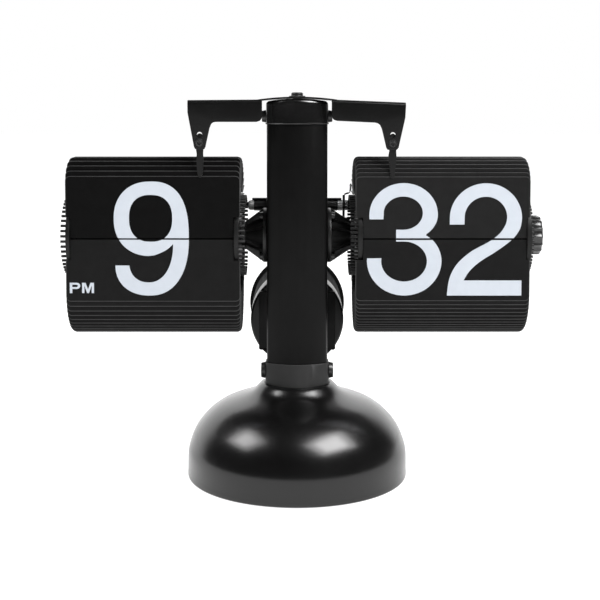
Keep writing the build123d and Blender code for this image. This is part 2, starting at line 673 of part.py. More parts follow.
# ------------------------------------------------------- rod, sleeves, pawl
# cross rod with a knurled head on the minute side
with BuildPart() as pawl_rod:
    rod_x(-24.2, 24.3, ROD_Y, ROD_Z, ROD_R)
    chamfer(pawl_rod.edges().filter_by(GeomType.CIRCLE), length=0.4)
    with BuildSketch(plane_x(22.0)):
        with Locations((ROD_Y, ROD_Z)):
            Circle(2.4)
            with PolarLocations(2.45, 14):
                Circle(0.22, mode=Mode.SUBTRACT)
    extrude(amount=2.3)
save(pawl_rod, "pawl_rod")

with BuildPart() as rod_sleeves:
    for a, b in ((-22.0, -13.35), (13.35, 20.7)):
        with BuildSketch(plane_x(a)):
            with Locations((ROD_Y, ROD_Z)):
                Circle(2.55)
                Circle(ROD_R, mode=Mode.SUBTRACT)
        extrude(amount=b - a)
save(rod_sleeves, "rod_sleeves")

with BuildPart() as backstop_pawl:
    with BuildSketch(plane_x(20.8)):
        with Locations((ROD_Y, ROD_Z)):
            Circle(2.5)
        with Locations((28.2, 111.6)):
            Rectangle(1.8, 8.2, rotation=4)
        with Locations((26.4, 119.2)):
            Rectangle(2.6, 3.2)
        with Locations((ROD_Y, ROD_Z)):
            Circle(ROD_R + RUN, mode=Mode.SUBTRACT)
    extrude(amount=1.1)
    with BuildSketch(plane_x(20.8)):
        with Locations((28.4, 108.9)):
            Rectangle(1.8, 2.4, rotation=4)
    extrude(amount=3.5)
    # finger pin that lifts it
    rod_z(120.0, 126.4, 21.35, 26.4, 0.5)
save(backstop_pawl, "backstop_pawl")

# ----------------------------------------------------------------- drums


def spool_disc(s, span, inner_side, pin_to, pins, phase):
    """Disc with leaf groove and pin ends.  span is absolute X, low then high.
    inner_side is the face that looks at the leaves, pin_to the pin tips."""
    a, b = span
    rod_x(s * a, s * b, AXIS_Y, AXIS_Z, DISC_R)
    fillet([e for e in DISC_EDGES()], radius=0.35)
    # groove that the leaf pins run in
    if inner_side == "high":
        g0, g1 = b - GROOVE_D, b
    else:
        g0, g1 = a, a + GROOVE_D
    with BuildSketch(plane_x(min(s * g0, s * g1))) as groove:
        with Locations((AXIS_Y, AXIS_Z)):
            Circle(GROOVE_R[1])
            Circle(GROOVE_R[0], mode=Mode.SUBTRACT)
    extrude(groove.sketch, amount=GROOVE_D, mode=Mode.SUBTRACT)
    start = a if inner_side == "high" else b
    with BuildSketch(plane_x(min(s * start, s * pin_to))) as ring:
        with Locations((AXIS_Y, AXIS_Z)):
            with PolarLocations(PIVOT_R, pins, start_angle=phase):
                Circle(PIN_R)
    extrude(ring.sketch, amount=abs(pin_to - start))


def DISC_EDGES():
    """Outer rim edges of the disc under construction."""
    ctx = BuildPart._get_context()
    return ctx.part.edges().filter_by(GeomType.CIRCLE).filter_by(lambda e: e.radius > DISC_R - 0.01)


DISCS = (
    ("hour_disc_inner", -1, HOUR_DISC_IN, "high", 22.4, HOUR_LEAVES, 3.75),
    ("hour_disc_outer", -1, HOUR_DISC_OUT, "low", 101.4, HOUR_LEAVES, 3.75),
    ("minute_disc_inner", 1, MINUTE_DISC_IN, "high", 22.9, MINUTE_LEAVES, 3.0),
    ("minute_disc_outer", 1, MINUTE_DISC_OUT, "low", 101.4, MINUTE_LEAVES, 3.0),
)
for nm, s, span, side, tip, n, ph in DISCS:
    with BuildPart() as disc:
        spool_disc(s, span, side, tip, n, ph)
        rod_x(s * 20, s * 110, AXIS_Y, AXIS_Z, SHAFT_R, Mode.SUBTRACT)
    save(disc, nm)

for nm, s, a, b in (("hour_hub", -1, HOUR_DISC_IN[1], HOUR_DISC_OUT[0]), ("minute_hub", 1, MINUTE_DISC_IN[1], MINUTE_DISC_OUT[0])):
    with BuildPart() as hub:
        rod_x(s * a, s * b, AXIS_Y, AXIS_Z, 5.0)
        rod_x(s * 20, s * 110, AXIS_Y, AXIS_Z, SHAFT_R, Mode.SUBTRACT)
    save(hub, nm)

with BuildPart() as hour_shaft:
    rod_x(-100.9, 0.0, AXIS_Y, AXIS_Z, SHAFT_R)
    chamfer(hour_shaft.faces().sort_by(Axis.X)[0].edges(), length=0.3)
save(hour_shaft, "hour_shaft")

with BuildPart() as hour_shaft_nut:
    with BuildSketch(plane_x(-100.6)):
        with Locations((AXIS_Y, AXIS_Z)):
            RegularPolygon(3.0, 6)
            Circle(SHAFT_R, mode=Mode.SUBTRACT)
    extrude(amount=1.4)
save(hour_shaft_nut, "hour_shaft_nut")

# minute shaft with its pinion cut on it
with BuildPart() as minute_shaft:
    rod_x(0.1, 106.4, AXIS_Y, AXIS_Z, SHAFT_R)
    gear(5.2, 7.2, AXIS_Y, AXIS_Z, M_FAST, Z_MIN_PINION, 0, 0, add=0.8)
save(minute_shaft, "minute_shaft")

with BuildPart() as hour_wheel:
    gear(-3.4, -1.8, AXIS_Y, AXIS_Z, M_SLOW, Z_HOUR, 180 / Z_HOUR, SHAFT_R)
    with BuildSketch(plane_x(-4)):
        with Locations((AXIS_Y, AXIS_Z)):
            with PolarLocations(6.0, 5):
                Circle(2.0)
    extrude(amount=3, mode=Mode.SUBTRACT)
save(hour_wheel, "hour_wheel")

with BuildPart() as minute_wheel:
    gear(8.0, 9.6, AXIS_Y, AXIS_Z, M_FAST, Z_MINUTE, MOTOR_ANGLE, SHAFT_R)
    with BuildSketch(plane_x(7)):
        with Locations((AXIS_Y, AXIS_Z)):
            with PolarLocations(4.9, 5):
                Circle(1.6)
    extrude(amount=4, mode=Mode.SUBTRACT)
save(minute_wheel, "minute_wheel")

with BuildPart() as setting_knob:
    rod_x(KNOB_X[0], KNOB_X[1], AXIS_Y, AXIS_Z, KNOB_R)
    fillet(setting_knob.edges().filter_by(GeomType.CIRCLE), radius=0.9)
    with BuildSketch(plane_x(KNOB_X[0] - 1)):
        with Locations((AXIS_Y, AXIS_Z)):
            with PolarLocations(KNOB_R + 0.75, KNOB_FLUTES, start_angle=90):
                Circle(1.25)
    extrude(amount=8, mode=Mode.SUBTRACT)
    rod_x(MINUTE_DISC_OUT[1], KNOB_X[0], AXIS_Y, AXIS_Z, 3.4)
    rod_x(KNOB_X[1] - 1.1, KNOB_X[1] + 1, AXIS_Y, AXIS_Z, 5.6, Mode.SUBTRACT)
    rod_x(90, KNOB_X[1] - 1.1, AXIS_Y, AXIS_Z, SHAFT_R, Mode.SUBTRACT)
save(setting_knob, "setting_knob")

with BuildPart() as knob_screw:
    rod_x(KNOB_X[1] - 1.1, KNOB_X[1] - 0.2, AXIS_Y, AXIS_Z, 2.6)
    fillet(knob_screw.faces().sort_by(Axis.X)[-1].edges(), radius=0.4)
    block((KNOB_X[1] - 0.7, KNOB_X[1] + 1), (AXIS_Y - 2, AXIS_Y + 2), (AXIS_Z - 0.3, AXIS_Z + 0.3), Mode.SUBTRACT)
    block((KNOB_X[1] - 0.7, KNOB_X[1] + 1), (AXIS_Y - 0.3, AXIS_Y + 0.3), (AXIS_Z - 2, AXIS_Z + 2), Mode.SUBTRACT)
save(knob_screw, "knob_screw")

# ------------------------------------------------------------------ leaves
# lean of a leaf back from upright, by its pivot's angle round the drum
LEAN = [(0, 0), (5, 0), (11.25, 1.0), (18.75, 3.0), (26.25, 7.0), (33.75, 14.0), (41.25, 25.0),
        (60, 46), (90, 78), (120, 111), (150, 143), (178, 174)]


def lean(theta):
    if theta >= 180:
        return 180.0
    for (a, fa), (b, fb) in zip(LEAN, LEAN[1:]):
        if a <= theta <= b:
            return fa + (fb - fa) * (theta - a) / (b - a)
    return LEAN[-1][1]


def leaf(theta, pitch, wide, narrow):
    """One leaf, hinged on the pivot circle at angle theta from the front."""
    t = math.radians(theta)
    f = math.radians(lean(theta))
    py = AXIS_Y - PIVOT_R * math.cos(t)
    pz = AXIS_Z + PIVOT_R * math.sin(t)
    foot = -(PIVOT_R * math.sin(math.radians(pitch / 2)) - 0.3)
    wa, wb = wide
    na, nb = narrow
    e = 0.7
    with BuildSketch(Plane(origin=(0, py, pz), x_dir=(1, 0, 0), z_dir=(0, -math.cos(f), math.sin(f)))) as sk:
        with BuildLine():
            Polyline(
                (na, foot), (nb, foot), (nb, -0.4), (nb + e, -0.4), (nb + e, 0.4), (nb, 0.4),
                (nb, NOTCH_H), (wb, NOTCH_H), (wb, LEAF_L - LEAF_CORNER),
            )
            ThreePointArc((wb, LEAF_L - LEAF_CORNER),
                          (wb - LEAF_CORNER * 0.2929, LEAF_L - LEAF_CORNER * 0.2929),
                          (wb - LEAF_CORNER, LEAF_L))
            Line((wb - LEAF_CORNER, LEAF_L), (wa + LEAF_CORNER, LEAF_L))
            ThreePointArc((wa + LEAF_CORNER, LEAF_L),
                          (wa + LEAF_CORNER * 0.2929, LEAF_L - LEAF_CORNER * 0.2929),
                          (wa, LEAF_L - LEAF_CORNER))
            Polyline(
                (wa, LEAF_L - LEAF_CORNER), (wa, NOTCH_H), (na, NOTCH_H), (na, 0.4),
                (na - e, 0.4), (na - e, -0.4), (na, -0.4), (na, foot),
            )
        make_face()
    extrude(sk.sketch, amount=LEAF_T / 2, both=True)


for nm, n, wide, narrow in (("hour", HOUR_LEAVES, HOUR_X, HOUR_NARROW), ("minute", MINUTE_LEAVES, MINUTE_X, MINUTE_NARROW)):
    pitch = 360 / n
    with BuildPart() as flip:
        leaf(pitch / 2, pitch, wide, narrow)
    save(flip, nm + "_flip_leaf")
    with BuildPart() as upper:
        for k in range(1, n // 2):
            leaf(pitch * (k + 0.5), pitch, wide, narrow)
    save(upper, nm + "_upper_leaves")
    with BuildPart() as lower:
        for k in range(n // 2, n):
            leaf(pitch * (k + 0.5), pitch, wide, narrow)
    save(lower, nm + "_lower_leaves")

# ------------------------------------------------------------ battery barrel
with BuildPart() as barrel_bracket:
    block((-9.0, 9.0), (COL_BACK, 8.2), (53.5, 77.5))
    block((-17.0, 17.0), (8.2, BAR_Y[0]), (52.6, 78.8))
    fillet(barrel_bracket.edges().filter_by(Axis.Y).filter_by(lambda e: abs(e.center().X) > 16), radius=1.0)
    for cx, cz in ((-6, 61.0), (6, 71.0)):
        rod_y(0, 20, cx, cz, 1.25, Mode.SUBTRACT)
save(barrel_bracket, "barrel_bracket")

with BuildPart() as battery_barrel:
    with BuildSketch(Plane.YZ):
        outline([(BAR_Y[0], BAR_Z), (BAR_Y[0], BAR_Z + BAR_R[0] - 0.8), (BAR_Y[0] + 0.8, BAR_Z + BAR_R[0]),
                 (57.3, BAR_Z + BAR_R[1]), (57.5, BAR_Z + BAR_FLANGE_R - 0.4), (57.9, BAR_Z + BAR_FLANGE_R),
                 (59.1, BAR_Z + BAR_FLANGE_R), (BAR_Y[1], BAR_Z + BAR_FLANGE_R - 0.4),
                 (BAR_Y[1], BAR_Z + BAR_BORE), (BAR_Y[0] + 1.6, BAR_Z + BAR_BORE), (BAR_Y[0] + 1.6, BAR_Z)])
    revolve(axis=Axis((0, 0, BAR_Z), (0, 1, 0)))
    for cx, cz in ((-6, 61.0), (6, 71.0)):
        rod_y(0, 12, cx, cz, 1.25, Mode.SUBTRACT)
    # wire hole under the movement
    rod_z(80, 90, 0, 20.0, 1.6, Mode.SUBTRACT)
save(battery_barrel, "battery_barrel")

with BuildPart() as cell_contact:
    rod_y(BAR_Y[0] + 1.6, 12.3, 0, BAR_Z, 4.2)
save(cell_contact, "cell_contact")

with BuildPart() as d_cell:
    rod_y(CELL_Y[0], CELL_Y[1], 0, BAR_Z, CELL_R)
    fillet(d_cell.edges().filter_by(GeomType.CIRCLE), radius=0.6)
    rod_y(CELL_Y[0] - 1.5, CELL_Y[0], 0, BAR_Z, 4.7)
save(d_cell, "d_cell")

COVER_R = 20.6
with BuildPart() as battery_cover:
    with BuildSketch(Plane.YZ):
        outline([(BAR_Y[1] + 0.1, BAR_Z + CELL_R + 0.7), (BAR_Y[1] + 0.1, BAR_Z + BAR_FLANGE_R - 0.6),
                 (BAR_Y[1] + 1.4, BAR_Z + BAR_FLANGE_R - 0.6), (BAR_Y[1] + 2.0, BAR_Z + COVER_R + 0.4),
                 (COVER_END_Y - 1.6, BAR_Z + COVER_R), (COVER_END_Y, BAR_Z + COVER_R - 1.6),
                 (COVER_END_Y, BAR_Z), (COVER_END_Y - 1.6, BAR_Z), (COVER_END_Y - 1.6, BAR_Z + CELL_R + 0.7)])
    revolve(axis=Axis((0, 0, BAR_Z), (0, 1, 0)))
    # grip flutes round the cover
    with BuildSketch(plane_y(COVER_END_Y + 1)):
        with Locations((0, BAR_Z)):
            with PolarLocations(COVER_R + 0.9, 30):
                Circle(1.3)
    extrude(amount=COVER_END_Y + 1 - BAR_Y[1] - 3.0, mode=Mode.SUBTRACT)
    # coin slot
    block((-7.5, 7.5), (COVER_END_Y - 0.9, COVER_END_Y + 1), (BAR_Z - 1.0, BAR_Z + 1.0), Mode.SUBTRACT)
save(battery_cover, "battery_cover")

with BuildPart() as cover_contact:
    rod_y(75.1, COVER_END_Y - 1.6, 0, BAR_Z, 7.0)
    rod_y(74.0, 75.1, 0, BAR_Z, 4.0)
save(cover_contact, "cover_contact")
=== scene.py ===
import bpy
import bmesh
import json
import math
from mathutils import Matrix, Vector

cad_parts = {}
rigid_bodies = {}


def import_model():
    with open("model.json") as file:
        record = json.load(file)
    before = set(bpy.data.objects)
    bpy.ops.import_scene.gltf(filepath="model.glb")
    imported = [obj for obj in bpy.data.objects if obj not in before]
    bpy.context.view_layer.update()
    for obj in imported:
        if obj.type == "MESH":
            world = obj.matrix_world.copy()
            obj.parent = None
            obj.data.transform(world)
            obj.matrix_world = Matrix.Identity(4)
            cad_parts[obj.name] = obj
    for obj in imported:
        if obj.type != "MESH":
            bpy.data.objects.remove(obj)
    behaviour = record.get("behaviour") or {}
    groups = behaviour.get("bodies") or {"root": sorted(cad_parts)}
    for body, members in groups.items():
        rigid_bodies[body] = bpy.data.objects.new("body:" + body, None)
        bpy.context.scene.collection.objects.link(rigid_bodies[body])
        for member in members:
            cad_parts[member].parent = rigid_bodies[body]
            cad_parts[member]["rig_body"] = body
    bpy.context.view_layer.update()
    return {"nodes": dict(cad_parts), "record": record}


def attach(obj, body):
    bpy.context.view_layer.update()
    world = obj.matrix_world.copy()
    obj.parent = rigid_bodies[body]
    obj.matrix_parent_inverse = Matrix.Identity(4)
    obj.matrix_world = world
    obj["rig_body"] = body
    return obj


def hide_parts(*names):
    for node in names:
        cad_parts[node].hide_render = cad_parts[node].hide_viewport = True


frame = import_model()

NODES = frame["nodes"]
MM = 0.001

# Desk flip clock, millimetres in the code and metres in the meshes.
# +Z up, +X to the clock's right as it is read, -Y towards the reader.
AXIS_Y, AXIS_Z = 9.2, 103.9
PIVOT_R = 17.2
DISC_R = 18.4
LEAF_L = 25.9
NOTCH_H = 8.2
BAR_Z = 66.0


# ------------------------------------------------------------------ materials
class Nodes:
    """A small helper round one material's node tree."""

    def __init__(self, name):
        self.mat = bpy.data.materials.new(name)
        self.mat.use_nodes = True
        self.tree = self.mat.node_tree
        self.tree.nodes.clear()
        self.out = self.tree.nodes.new("ShaderNodeOutputMaterial")
        self.bsdf = self.tree.nodes.new("ShaderNodeBsdfPrincipled")
        self.link(self.bsdf.outputs[0], self.out.inputs[0])
        self.coord = self.tree.nodes.new("ShaderNodeTexCoord")

    def link(self, a, b):
        self.tree.links.new(a, b)

    def stretched(self, scale):
        n = self.tree.nodes.new("ShaderNodeMapping")
        n.inputs["Scale"].default_value = scale
        self.link(self.coord.outputs["Object"], n.inputs["Vector"])
        return n.outputs[0]

    def noise(self, scale, detail=3.0, rough=0.55, stretch=None):
        n = self.tree.nodes.new("ShaderNodeTexNoise")
        n.inputs["Scale"].default_value = scale
        n.inputs["Detail"].default_value = detail
        n.inputs["Roughness"].default_value = rough
        self.link(self.stretched(stretch) if stretch else self.coord.outputs["Object"], n.inputs["Vector"])
        return n.outputs["Fac"]

    def ramp(self, fac, stops):
        n = self.tree.nodes.new("ShaderNodeValToRGB")
        e = n.color_ramp.elements
        e[0].position, e[0].color = stops[0][0], (*stops[0][1], 1)
        e[1].position, e[1].color = stops[-1][0], (*stops[-1][1], 1)
        for p, c in stops[1:-1]:
            x = e.new(p)
            x.color = (*c, 1)
        self.link(fac, n.inputs[0])
        return n.outputs[0]

    def range(self, fac, a, b, lo=0.3, hi=0.7):
        n = self.tree.nodes.new("ShaderNodeMapRange")
        n.inputs["From Min"].default_value = lo
        n.inputs["From Max"].default_value = hi
        n.inputs["To Min"].default_value = a
        n.inputs["To Max"].default_value = b
        self.link(fac, n.inputs["Value"])
        return n.outputs[0]

    def bump(self, height, strength, distance, before=None):
        n = self.tree.nodes.new("ShaderNodeBump")
        n.inputs["Strength"].default_value = strength
        n.inputs["Distance"].default_value = distance
        self.link(height, n.inputs["Height"])
        if before is not None:
            self.link(before, n.inputs["Normal"])
        return n.outputs[0]

    def set(self, **values):
        for k, v in values.items():
            self.bsdf.inputs[k.replace("_", " ")].default_value = v


def grey(v):
    return (v, v, v)


def coated(name, dark, light, rough, grain, strength, distance=0.00004, spec=0.5, coat=0.0, coat_rough=0.1,
           metallic=0.0, stretch=None, patch=45.0, fine_detail=2.0):
    """Paint, powder coat, moulded plastic or printed board: patchy tone, patchy gloss and a fine grain in relief."""
    m = Nodes(name)
    broad = m.noise(patch, 4.0, 0.6)
    fine = m.noise(grain, fine_detail, 0.6, stretch)
    m.link(m.ramp(broad, [(0.3, dark), (0.7, light)]), m.bsdf.inputs["Base Color"])
    m.link(m.range(m.noise(patch * 2.3, 5.0, 0.65), rough[0], rough[1]), m.bsdf.inputs["Roughness"])
    m.link(m.bump(fine, strength, distance), m.bsdf.inputs["Normal"])
    m.set(Metallic=metallic)
    m.bsdf.inputs["Specular IOR Level"].default_value = spec
    m.bsdf.inputs["Coat Weight"].default_value = coat
    m.bsdf.inputs["Coat Roughness"].default_value = coat_rough
    return m.mat


def brushed(name, dark, light, rough, scale, stretch, strength=0.12, patch=120.0):
    """Turned or drawn metal: fine lines along one direction and a patchy polish."""
    m = Nodes(name)
    lines = m.noise(scale, 3.0, 0.6, stretch)
    m.link(m.ramp(lines, [(0.3, dark), (0.7, light)]), m.bsdf.inputs["Base Color"])
    m.link(m.range(m.noise(patch, 4.0, 0.6), rough[0], rough[1]), m.bsdf.inputs["Roughness"])
    m.link(m.bump(lines, strength, 0.00002), m.bsdf.inputs["Normal"])
    m.set(Metallic=1.0)
    return m.mat


M = {}
M["gloss_black_metal"] = coated("gloss_black_metal", grey(0.0020), grey(0.0034), (0.21, 0.27), 420.0, 0.03,
                                distance=0.00006, spec=0.40, coat=0.16, coat_rough=0.13, patch=30.0)
M["satin_black_metal"] = coated("satin_black_metal", grey(0.0014), grey(0.0024), (0.38, 0.46), 2600.0, 0.2,
                                distance=0.00003, spec=0.12, patch=60.0)
M["cap_metal"] = coated("cap_metal", grey(0.0032), grey(0.0048), (0.16, 0.22), 2200.0, 0.06,
                        distance=0.00003, spec=0.6, coat=0.3, coat_rough=0.1, patch=60.0)
M["arm_metal"] = coated("arm_metal", grey(0.0022), grey(0.0034), (0.30, 0.38), 2400.0, 0.1,
                        distance=0.00003, spec=0.13, coat=0.5, coat_rough=0.15, patch=80.0)
# Collar: base colour far lighter than the column's, painted light standing in for the light its flared front catches.
M["collar_metal_painted_light"] = coated("collar_metal_painted_light", grey(0.0120), grey(0.0170), (0.5, 0.6), 2400.0, 0.22,
                           distance=0.00003, spec=0.30, patch=70.0)
M["cast_alloy"] = coated("cast_alloy", grey(0.30), grey(0.42), (0.42, 0.6), 1500.0, 0.3, metallic=1.0)
M["cast_ballast"] = coated("cast_ballast", (0.055, 0.052, 0.05), (0.10, 0.095, 0.09), (0.6, 0.8), 900.0, 0.6,
                           distance=0.0001, metallic=0.6)
M["black_plastic"] = coated("black_plastic", grey(0.004), grey(0.007), (0.34, 0.44), 3000.0, 0.18,
                            distance=0.00003, spec=0.35, patch=90.0)
M["gloss_black_plastic"] = coated("gloss_black_plastic", grey(0.0035), grey(0.006), (0.26, 0.34), 1400.0, 0.05,
                                  distance=0.00003, spec=0.2, patch=80.0)
M["grey_plastic"] = coated("grey_plastic", grey(0.011), grey(0.019), (0.19, 0.27), 2600.0, 0.06,
                           distance=0.00002, spec=0.52, coat=0.12, coat_rough=0.14, patch=160.0)
M["disc_plastic"] = coated("disc_plastic", grey(0.0045), grey(0.0080), (0.36, 0.46), 2200.0, 0.12,
                           distance=0.00003, spec=0.24, patch=120.0)
M["leaf_black"] = coated("leaf_black", grey(0.0027), grey(0.0043), (0.5, 0.6), 1500.0, 0.34,
                         distance=0.00005, spec=0.145, patch=220.0, fine_detail=4.0)
# Upper and flip leaves of the hour drum: a darker copy of leaf_black, painted shade standing in for the dimmer light
# they get.
M["leaf_hour_upper"] = coated("leaf_hour_upper", grey(0.0012), grey(0.0022), (0.52, 0.62), 1500.0, 0.34,
                              distance=0.00005, spec=0.075, patch=220.0, fine_detail=4.0)
# Upper and flip leaves of the minute drum: a lighter copy of leaf_black, painted light standing in for the brighter
# light from the right.
M["leaf_minute_upper"] = coated("leaf_minute_upper", grey(0.0040), grey(0.0060), (0.5, 0.6), 1500.0, 0.34,
                                distance=0.00005, spec=0.175, patch=220.0, fine_detail=4.0)
# Leaf edges: the cut edges' own lighter tone plus a painted highlight for the lit top edges of the stacked leaves.
M["leaf_edge_and_painted_highlight"] = coated("leaf_edge_and_painted_highlight", grey(0.019), grey(0.032), (0.4, 0.55), 1800.0, 0.2, spec=0.34, patch=140.0)
M["print_white"] = coated("print_white", (0.47, 0.505, 0.555), (0.495, 0.53, 0.58), (0.42, 0.52), 1700.0, 0.18,
                          distance=0.00003, spec=0.4, patch=260.0)
M["felt_rubber"] = coated("felt_rubber", grey(0.012), grey(0.03), (0.85, 0.95), 3500.0, 0.9,
                          distance=0.00012, spec=0.2, patch=600.0, fine_detail=5.0)
M["zinc_steel"] = brushed("zinc_steel", (0.50, 0.50, 0.49), (0.66, 0.66, 0.65), (0.25, 0.38), 1500.0, (1, 1, 1))
M["polished_steel"] = brushed("polished_steel", (0.60, 0.60, 0.61), (0.74, 0.74, 0.75), (0.16, 0.28), 2200.0,
                              (0.06, 1, 1))
M["black_steel"] = coated("black_steel", grey(0.014), grey(0.024), (0.26, 0.36), 2200.0, 0.12, spec=0.6,
                          metallic=0.35, patch=200.0)
M["black_spring_steel"] = coated("black_spring_steel", grey(0.003), grey(0.005), (0.34, 0.42), 2600.0, 0.14,
                                 spec=0.28, patch=150.0)
M["brass"] = brushed("brass", (0.56, 0.38, 0.15), (0.72, 0.52, 0.23), (0.24, 0.38), 1600.0, (0.1, 1, 1))
# End nuts: pale silver, with the base colour pushed up so they read bright in shade: the metal's own colour plus a
# painted glint.
M["nut_silver_and_painted_glint"] = coated("nut_silver_and_painted_glint", grey(0.62), grey(0.86), (0.24, 0.36), 2400.0, 0.3, metallic=0.25, spec=0.8,
                        coat=0.4, coat_rough=0.15, patch=500.0)
M["barrel_grip"] = coated("barrel_grip", grey(0.0055), grey(0.010), (0.66, 0.78), 1300.0, 0.3,
                          distance=0.00005, spec=0.04, patch=90.0)
M["sleeve_plastic"] = coated("sleeve_plastic", grey(0.012), grey(0.020), (0.28, 0.36), 3000.0, 0.12,
                             distance=0.00003, spec=0.7, patch=90.0)
M["white_gear"] = coated("white_gear", (0.70, 0.69, 0.65), (0.78, 0.77, 0.73), (0.32, 0.42), 1300.0, 0.08, spec=0.5)


def board_green():
    """Solder mask over a field of straight tracks."""
    m = Nodes("board_green")
    brick = m.tree.nodes.new("ShaderNodeTexBrick")
    brick.inputs["Scale"].default_value = 300.0
    brick.inputs["Mortar Size"].default_value = 0.03
    brick.inputs["Color1"].default_value = (0.006, 0.065, 0.022, 1)
    brick.inputs["Color2"].default_value = (0.008, 0.085, 0.030, 1)
    brick.inputs["Mortar"].default_value = (0.035, 0.20, 0.07, 1)
    turn = m.tree.nodes.new("ShaderNodeMapping")
    turn.inputs["Rotation"].default_value = (math.pi / 2, 0, 0)
    m.link(m.coord.outputs["Object"], turn.inputs["Vector"])
    m.link(turn.outputs[0], brick.inputs["Vector"])
    m.link(brick.outputs["Color"], m.bsdf.inputs["Base Color"])
    m.link(m.range(m.noise(800.0), 0.25, 0.35), m.bsdf.inputs["Roughness"])
    m.link(m.bump(brick.outputs["Fac"], 0.3, 0.00005), m.bsdf.inputs["Normal"])
    return m.mat


M["board_green"] = board_green()


def cell_jacket():
    """Plain shrink sleeve: dark body with a copper band near the positive end, along Y."""
    m = Nodes("cell_jacket")
    split = m.tree.nodes.new("ShaderNodeSeparateXYZ")
    m.link(m.coord.outputs["Object"], split.inputs[0])
    pos = m.range(split.outputs["Y"], 0.0, 1.0, 0.0125, 0.0740)
    band = m.ramp(pos, [(0.0, (0.72, 0.70, 0.66)), (0.02, (0.72, 0.70, 0.66)), (0.03, (0.42, 0.17, 0.05)),
                        (0.26, (0.46, 0.19, 0.06)), (0.27, (0.012, 0.012, 0.013)), (0.97, (0.014, 0.014, 0.015)),
                        (0.985, (0.6, 0.59, 0.57))])
    m.link(band, m.bsdf.inputs["Base Color"])
    m.link(m.range(m.noise(300.0), 0.22, 0.34), m.bsdf.inputs["Roughness"])
    m.link(m.bump(m.noise(1100.0, 4.0), 0.06, 0.00004), m.bsdf.inputs["Normal"])
    m.bsdf.inputs["Metallic"].default_value = 0.4
    return m.mat


M["cell_jacket"] = cell_jacket()

NODE_SLOT = {row["node"]: row["material_slot"] for row in frame["record"]["subparts"]}


# The collar takes the finish with painted light.
OTHER = {"column_collar": "collar_metal_painted_light", "column_cap": "cap_metal", "hour_disc_inner": "disc_plastic",
         "hour_disc_outer": "disc_plastic", "minute_disc_inner": "disc_plastic", "minute_disc_outer": "disc_plastic"}


def paint_cad():
    """Every carried-over node gets its slot's finish."""
    for name, obj in NODES.items():
        s = NODE_SLOT.get(name)
        finish = M.get(OTHER.get(name, s), M["black_plastic"])
        obj.data.materials.clear()
        obj.data.materials.append(finish)
        for p in obj.data.polygons:
            p.use_smooth = True
        m = obj.modifiers.new("edges", "EDGE_SPLIT")
        m.split_angle = math.radians(32)


# -------------------------------------------------------------- mesh helpers
def add(name, verts, faces, finish, body="clock_body", slot=None, smooth=True, mats=None, face_mats=None):
    """New mesh object from millimetre points, riding on a body."""
    mesh = bpy.data.meshes.new(name)
    mesh.from_pydata([Vector(v) * MM for v in verts], [], faces)
    mesh.validate()
    for f in ([finish] if mats is None else mats):
        mesh.materials.append(M[f])
    if face_mats:
        for p, k in zip(mesh.polygons, face_mats):
            p.material_index = k
    bm = bmesh.new()
    bm.from_mesh(mesh)
    bmesh.ops.recalc_face_normals(bm, faces=bm.faces)
    bm.to_mesh(mesh)
    bm.free()
    for p in mesh.polygons:
        p.use_smooth = smooth
    obj = bpy.data.objects.new(name, mesh)
    bpy.context.scene.collection.objects.link(obj)
    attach(obj, body)
    return obj


def bevelled(obj, width, segments=2, angle=35):
    """Rounded edges where faces meet sharply, with shading to match."""
    m = obj.modifiers.new("bevel", "BEVEL")
    m.width = width * MM
    m.segments = segments
    m.limit_method = "ANGLE"
    m.angle_limit = math.radians(angle)
    m.harden_normals = True
    m.miter_outer = "MITER_ARC"
    return obj


def smoothed(obj, angle=32):
    m = obj.modifiers.new("edges", "EDGE_SPLIT")
    m.split_angle = math.radians(angle)
    return obj


def spline(points, per=10):
    """Smooth line through points, centripetal in effect for evenly spaced ones."""
    out = []
    n = len(points)
    for i in range(n - 1):
        p0 = points[max(i - 1, 0)]
        p1, p2 = points[i], points[i + 1]
        p3 = points[min(i + 2, n - 1)]
        for k in range(per):
            t = k / per
            out.append(tuple(
                0.5 * (2 * b + (c - a) * t + (2 * a - 5 * b + 4 * c - d) * t * t + (3 * b - a - 3 * c + d) * t ** 3)
                for a, b, c, d in zip(p0, p1, p2, p3)))
    out.append(tuple(points[-1]))
    return out


def lathe(name, profile, axis, centre, finish, segments=128, closed=False, **kw):
    """Turned piece.  profile is (radius, position along axis); centre is the
    other two coordinates of the axis line."""
    verts, faces = [], []
    n = len(profile)
    for r, h in profile:
        for k in range(segments):
            a = 2 * math.pi * k / segments
            u, v = r * math.cos(a), r * math.sin(a)
            if axis == "z":
                verts.append((centre[0] + u, centre[1] + v, h))
            elif axis == "y":
                verts.append((centre[0] + u, h, centre[1] + v))
            else:
                verts.append((h, centre[0] + u, centre[1] + v))
    rings = n if closed else n - 1
    for i in range(rings):
        j = (i + 1) % n
        for k in range(segments):
            q = (k + 1) % segments
            faces.append((i * segments + k, i * segments + q, j * segments + q, j * segments + k))
    if not closed:
        if profile[0][0] > 1e-6:
            faces.append(tuple(range(segments)))
        if profile[-1][0] > 1e-6:
            faces.append(tuple((n - 1) * segments + k for k in range(segments)))
    obj = add(name, verts, faces, finish, **kw)
    bm = bmesh.new()
    bm.from_mesh(obj.data)
    bmesh.ops.remove_doubles(bm, verts=bm.verts, dist=1e-7)
    bmesh.ops.recalc_face_normals(bm, faces=bm.faces)
    bm.to_mesh(obj.data)
    bm.free()
    return obj


def arc(cx, cy, a, b, t0, t1, n=14):
    """Points on an ellipse from angle t0 to t1, in degrees."""
    return [(cx + a * math.cos(math.radians(t0 + (t1 - t0) * k / n)),
             cy + b * math.sin(math.radians(t0 + (t1 - t0) * k / n))) for k in range(n + 1)]


